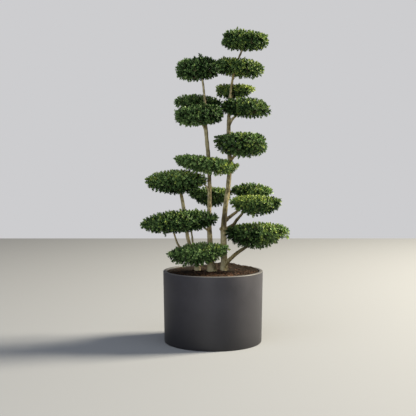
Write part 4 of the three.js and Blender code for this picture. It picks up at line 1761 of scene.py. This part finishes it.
@dataclass
class Studio:
    """The plain floor, the soft lights and the camera.

    The camera looks down by so much that the horizon lies so many pixels above the
    picture's middle.
    """

    camera_place: Place = (-0.0352, -5.53, 1.2255)
    focal_pixels: float = 790.0
    image_width: float = 416.0
    horizon_pixels: float = 41.0
    sensor: float = 36.0
    target: Place = (0.0, 0.0, 1.1)
    softboxes: tuple[Softbox, ...] = (
        Softbox("key", (10.6, 2.4, 8.6), 4.0, 6400.0, (1.0, 0.91, 0.70)),
        Softbox("fill", (-1.2, -6.5, 1.5), 2.4, 95.0, (1.0, 0.99, 0.97)),
        Softbox("overhead", (-0.8, -2.5, 7.5), 5.0, 225.0, (0.90, 0.97, 1.0)),
    )
    sky: Colour = (0.215, 0.224, 0.242)
    backdrop: Colour = (0.61, 0.61, 0.625)
    floor_colour: Colour = (0.235, 0.243, 0.268)
    floor_size: float = 16.0

    def build(self) -> None:
        """Sets up the floor, the sky, the lamps and the camera."""
        bm = bmesh.new()
        bmesh.ops.create_grid(bm, x_segments=8, y_segments=8, size=self.floor_size / 2)
        recipe = Recipe("pale_floor")
        material = recipe.finished({"Base Color": self.floor_colour, "Roughness": 0.9})
        from_bmesh("floor", bm, material)
        self.surround()
        for box in self.softboxes:
            self.lamp(box)
        data = bpy.data.cameras.new("camera")
        data.sensor_width = self.sensor
        data.lens = self.sensor * self.focal_pixels / self.image_width
        camera = linked("camera", data)
        camera.location = self.camera_place
        pitch = math.atan(self.horizon_pixels / self.focal_pixels)
        camera.rotation_euler = (math.pi / 2 - pitch, 0.0, 0.0)
        bpy.context.scene.camera = camera

    def surround(self) -> None:
        """Sets soft even light from all round, and a plain pale backdrop to look at."""
        world = bpy.data.worlds.new("studio")
        world.use_nodes = True
        tree = world.node_tree
        tree.nodes.clear()
        light, seen = (tree.nodes.new("ShaderNodeBackground") for _ in range(2))
        light.inputs["Color"].default_value = (*self.sky, 1.0)
        seen.inputs["Color"].default_value = (*self.backdrop, 1.0)
        path = tree.nodes.new("ShaderNodeLightPath")
        choice = tree.nodes.new("ShaderNodeMixShader")
        end = tree.nodes.new("ShaderNodeOutputWorld")
        tree.links.new(path.outputs["Is Camera Ray"], choice.inputs[0])
        tree.links.new(light.outputs[0], choice.inputs[1])
        tree.links.new(seen.outputs[0], choice.inputs[2])
        tree.links.new(choice.outputs[0], end.inputs["Surface"])
        scene = bpy.context.scene
        scene.world = world
        scene.view_settings.view_transform = "Standard"

    def lamp(self, box: Softbox) -> None:
        """Hangs one softbox and turns it to the plant."""
        data = bpy.data.lights.new(box.name, "AREA")
        data.size = box.size
        data.energy = box.power
        data.color = box.colour
        lamp = linked(box.name, data)
        lamp.location = box.place
        way = Vector(self.target) - Vector(box.place)
        lamp.rotation_euler = way.to_track_quat("-Z", "Y").to_euler()
        lamp.visible_camera = False


# Main


# The patches are painted light where paler and painted shade where darker, laid on each stem's bark.
STEMS = (
    Stem("stem_left", "trunk_left", side_light_and_shade=(0.4, 0.9), flare=0.3, flare_height=36.0, knots=(
        ((-44, -20, 1462), 9.0), ((-33, -26, 1128), 9.0),
    ), patches=(
        Patch((-8, -20, 505), 50, 0.9), Patch((-24, -25, 1020), 90, 0.3),
        Patch((-2, -14, 1035), 26, -0.9), Patch((-2, -14, 985), 26, -0.9),
        Patch((-12, -26, 775), 16, -1.0), Patch((-26, -24, 745), 40, 0.35),
        Patch((-66, -54, 1780), 70, 0.4), Patch((-42, -28, 1420), 80, 0.5),
    )),
    Stem("stem_right", "trunk_right", side_light_and_shade=(0.5, 0.5), knots=(
        ((58, 38, 788), 14.0), ((93, 42, 1010), 12.0),
    ), patches=(
        Patch((80, 35, 880), 34, -0.75), Patch((76, 35, 830), 44, -0.65),
        Patch((132, 60, 881), 48, -0.6), Patch((180, 100, 918), 48, -0.6),
        Patch((118, 26, 804), 42, -0.7), Patch((162, 0, 848), 46, -0.9),
        Patch((203, -30, 900), 42, -0.7), Patch((190, 4, 636), 60, -0.5),
        Patch((240, -10, 668), 48, -0.8), Patch((58, 36, 772), 14, -0.8),
        Patch((80, 28, 505), 46, 0.8), Patch((77, 34, 735), 56, 0.5),
        Patch((112, 36, 508), 30, -1.9), Patch((185, 64, 1990), 60, -0.4),
        Patch((98, 36, 1060), 50, 0.35), Patch((126, 50, 1150), 50, -0.45),
        Patch((122, 46, 1060), 36, -0.7),
    )),
    Stem("stem_outer", "stem_far_left", patches=(
        Patch((-109, 8, 505), 50, 1.0), Patch((-201, -34, 900), 100, 0.5),
        Patch((-181, -12, 750), 45, 0.5), Patch((-240, -46, 690), 60, 0.4),
        Patch((-151, -28, 765), 22, -0.5),
    )),
)


def main() -> None:
    """Builds every piece in order."""
    logging.basicConfig(level=logging.INFO, format="%(name)s: %(message)s")
    planter = Planter()
    settled(planter.build(CementFinish()), ("planter",))
    soil = Soil(planter)
    settled(soil.build(SoilFinish()), ("soil",))
    standing = [limb for limb in LIMBS if not limb.parent]
    settled(soil.mulch(np.random.default_rng(5), standing))
    bark = BarkFinish().material()
    for stem in STEMS:
        settled(stem.build(bark), tuple(limb.name for limb in stem.limbs))
    beads = Beads.along(LIMBS)
    twig_bark = TwigFinish().material()
    leaf_materials = [finish.material() for finish in LEAF_FINISHES]
    for pad in PADS:
        foliage = Foliage(pad, beads)
        foliage.grow()
        settled(foliage.twigs.mesh("twigs_" + pad.name, [twig_bark]))
        leaves = foliage.leaves.mesh("leaves_" + pad.name, leaf_materials)
        settled(leaves, ("pad_" + pad.name,))
    Studio().build()


if __name__ == "__main__":
    main()
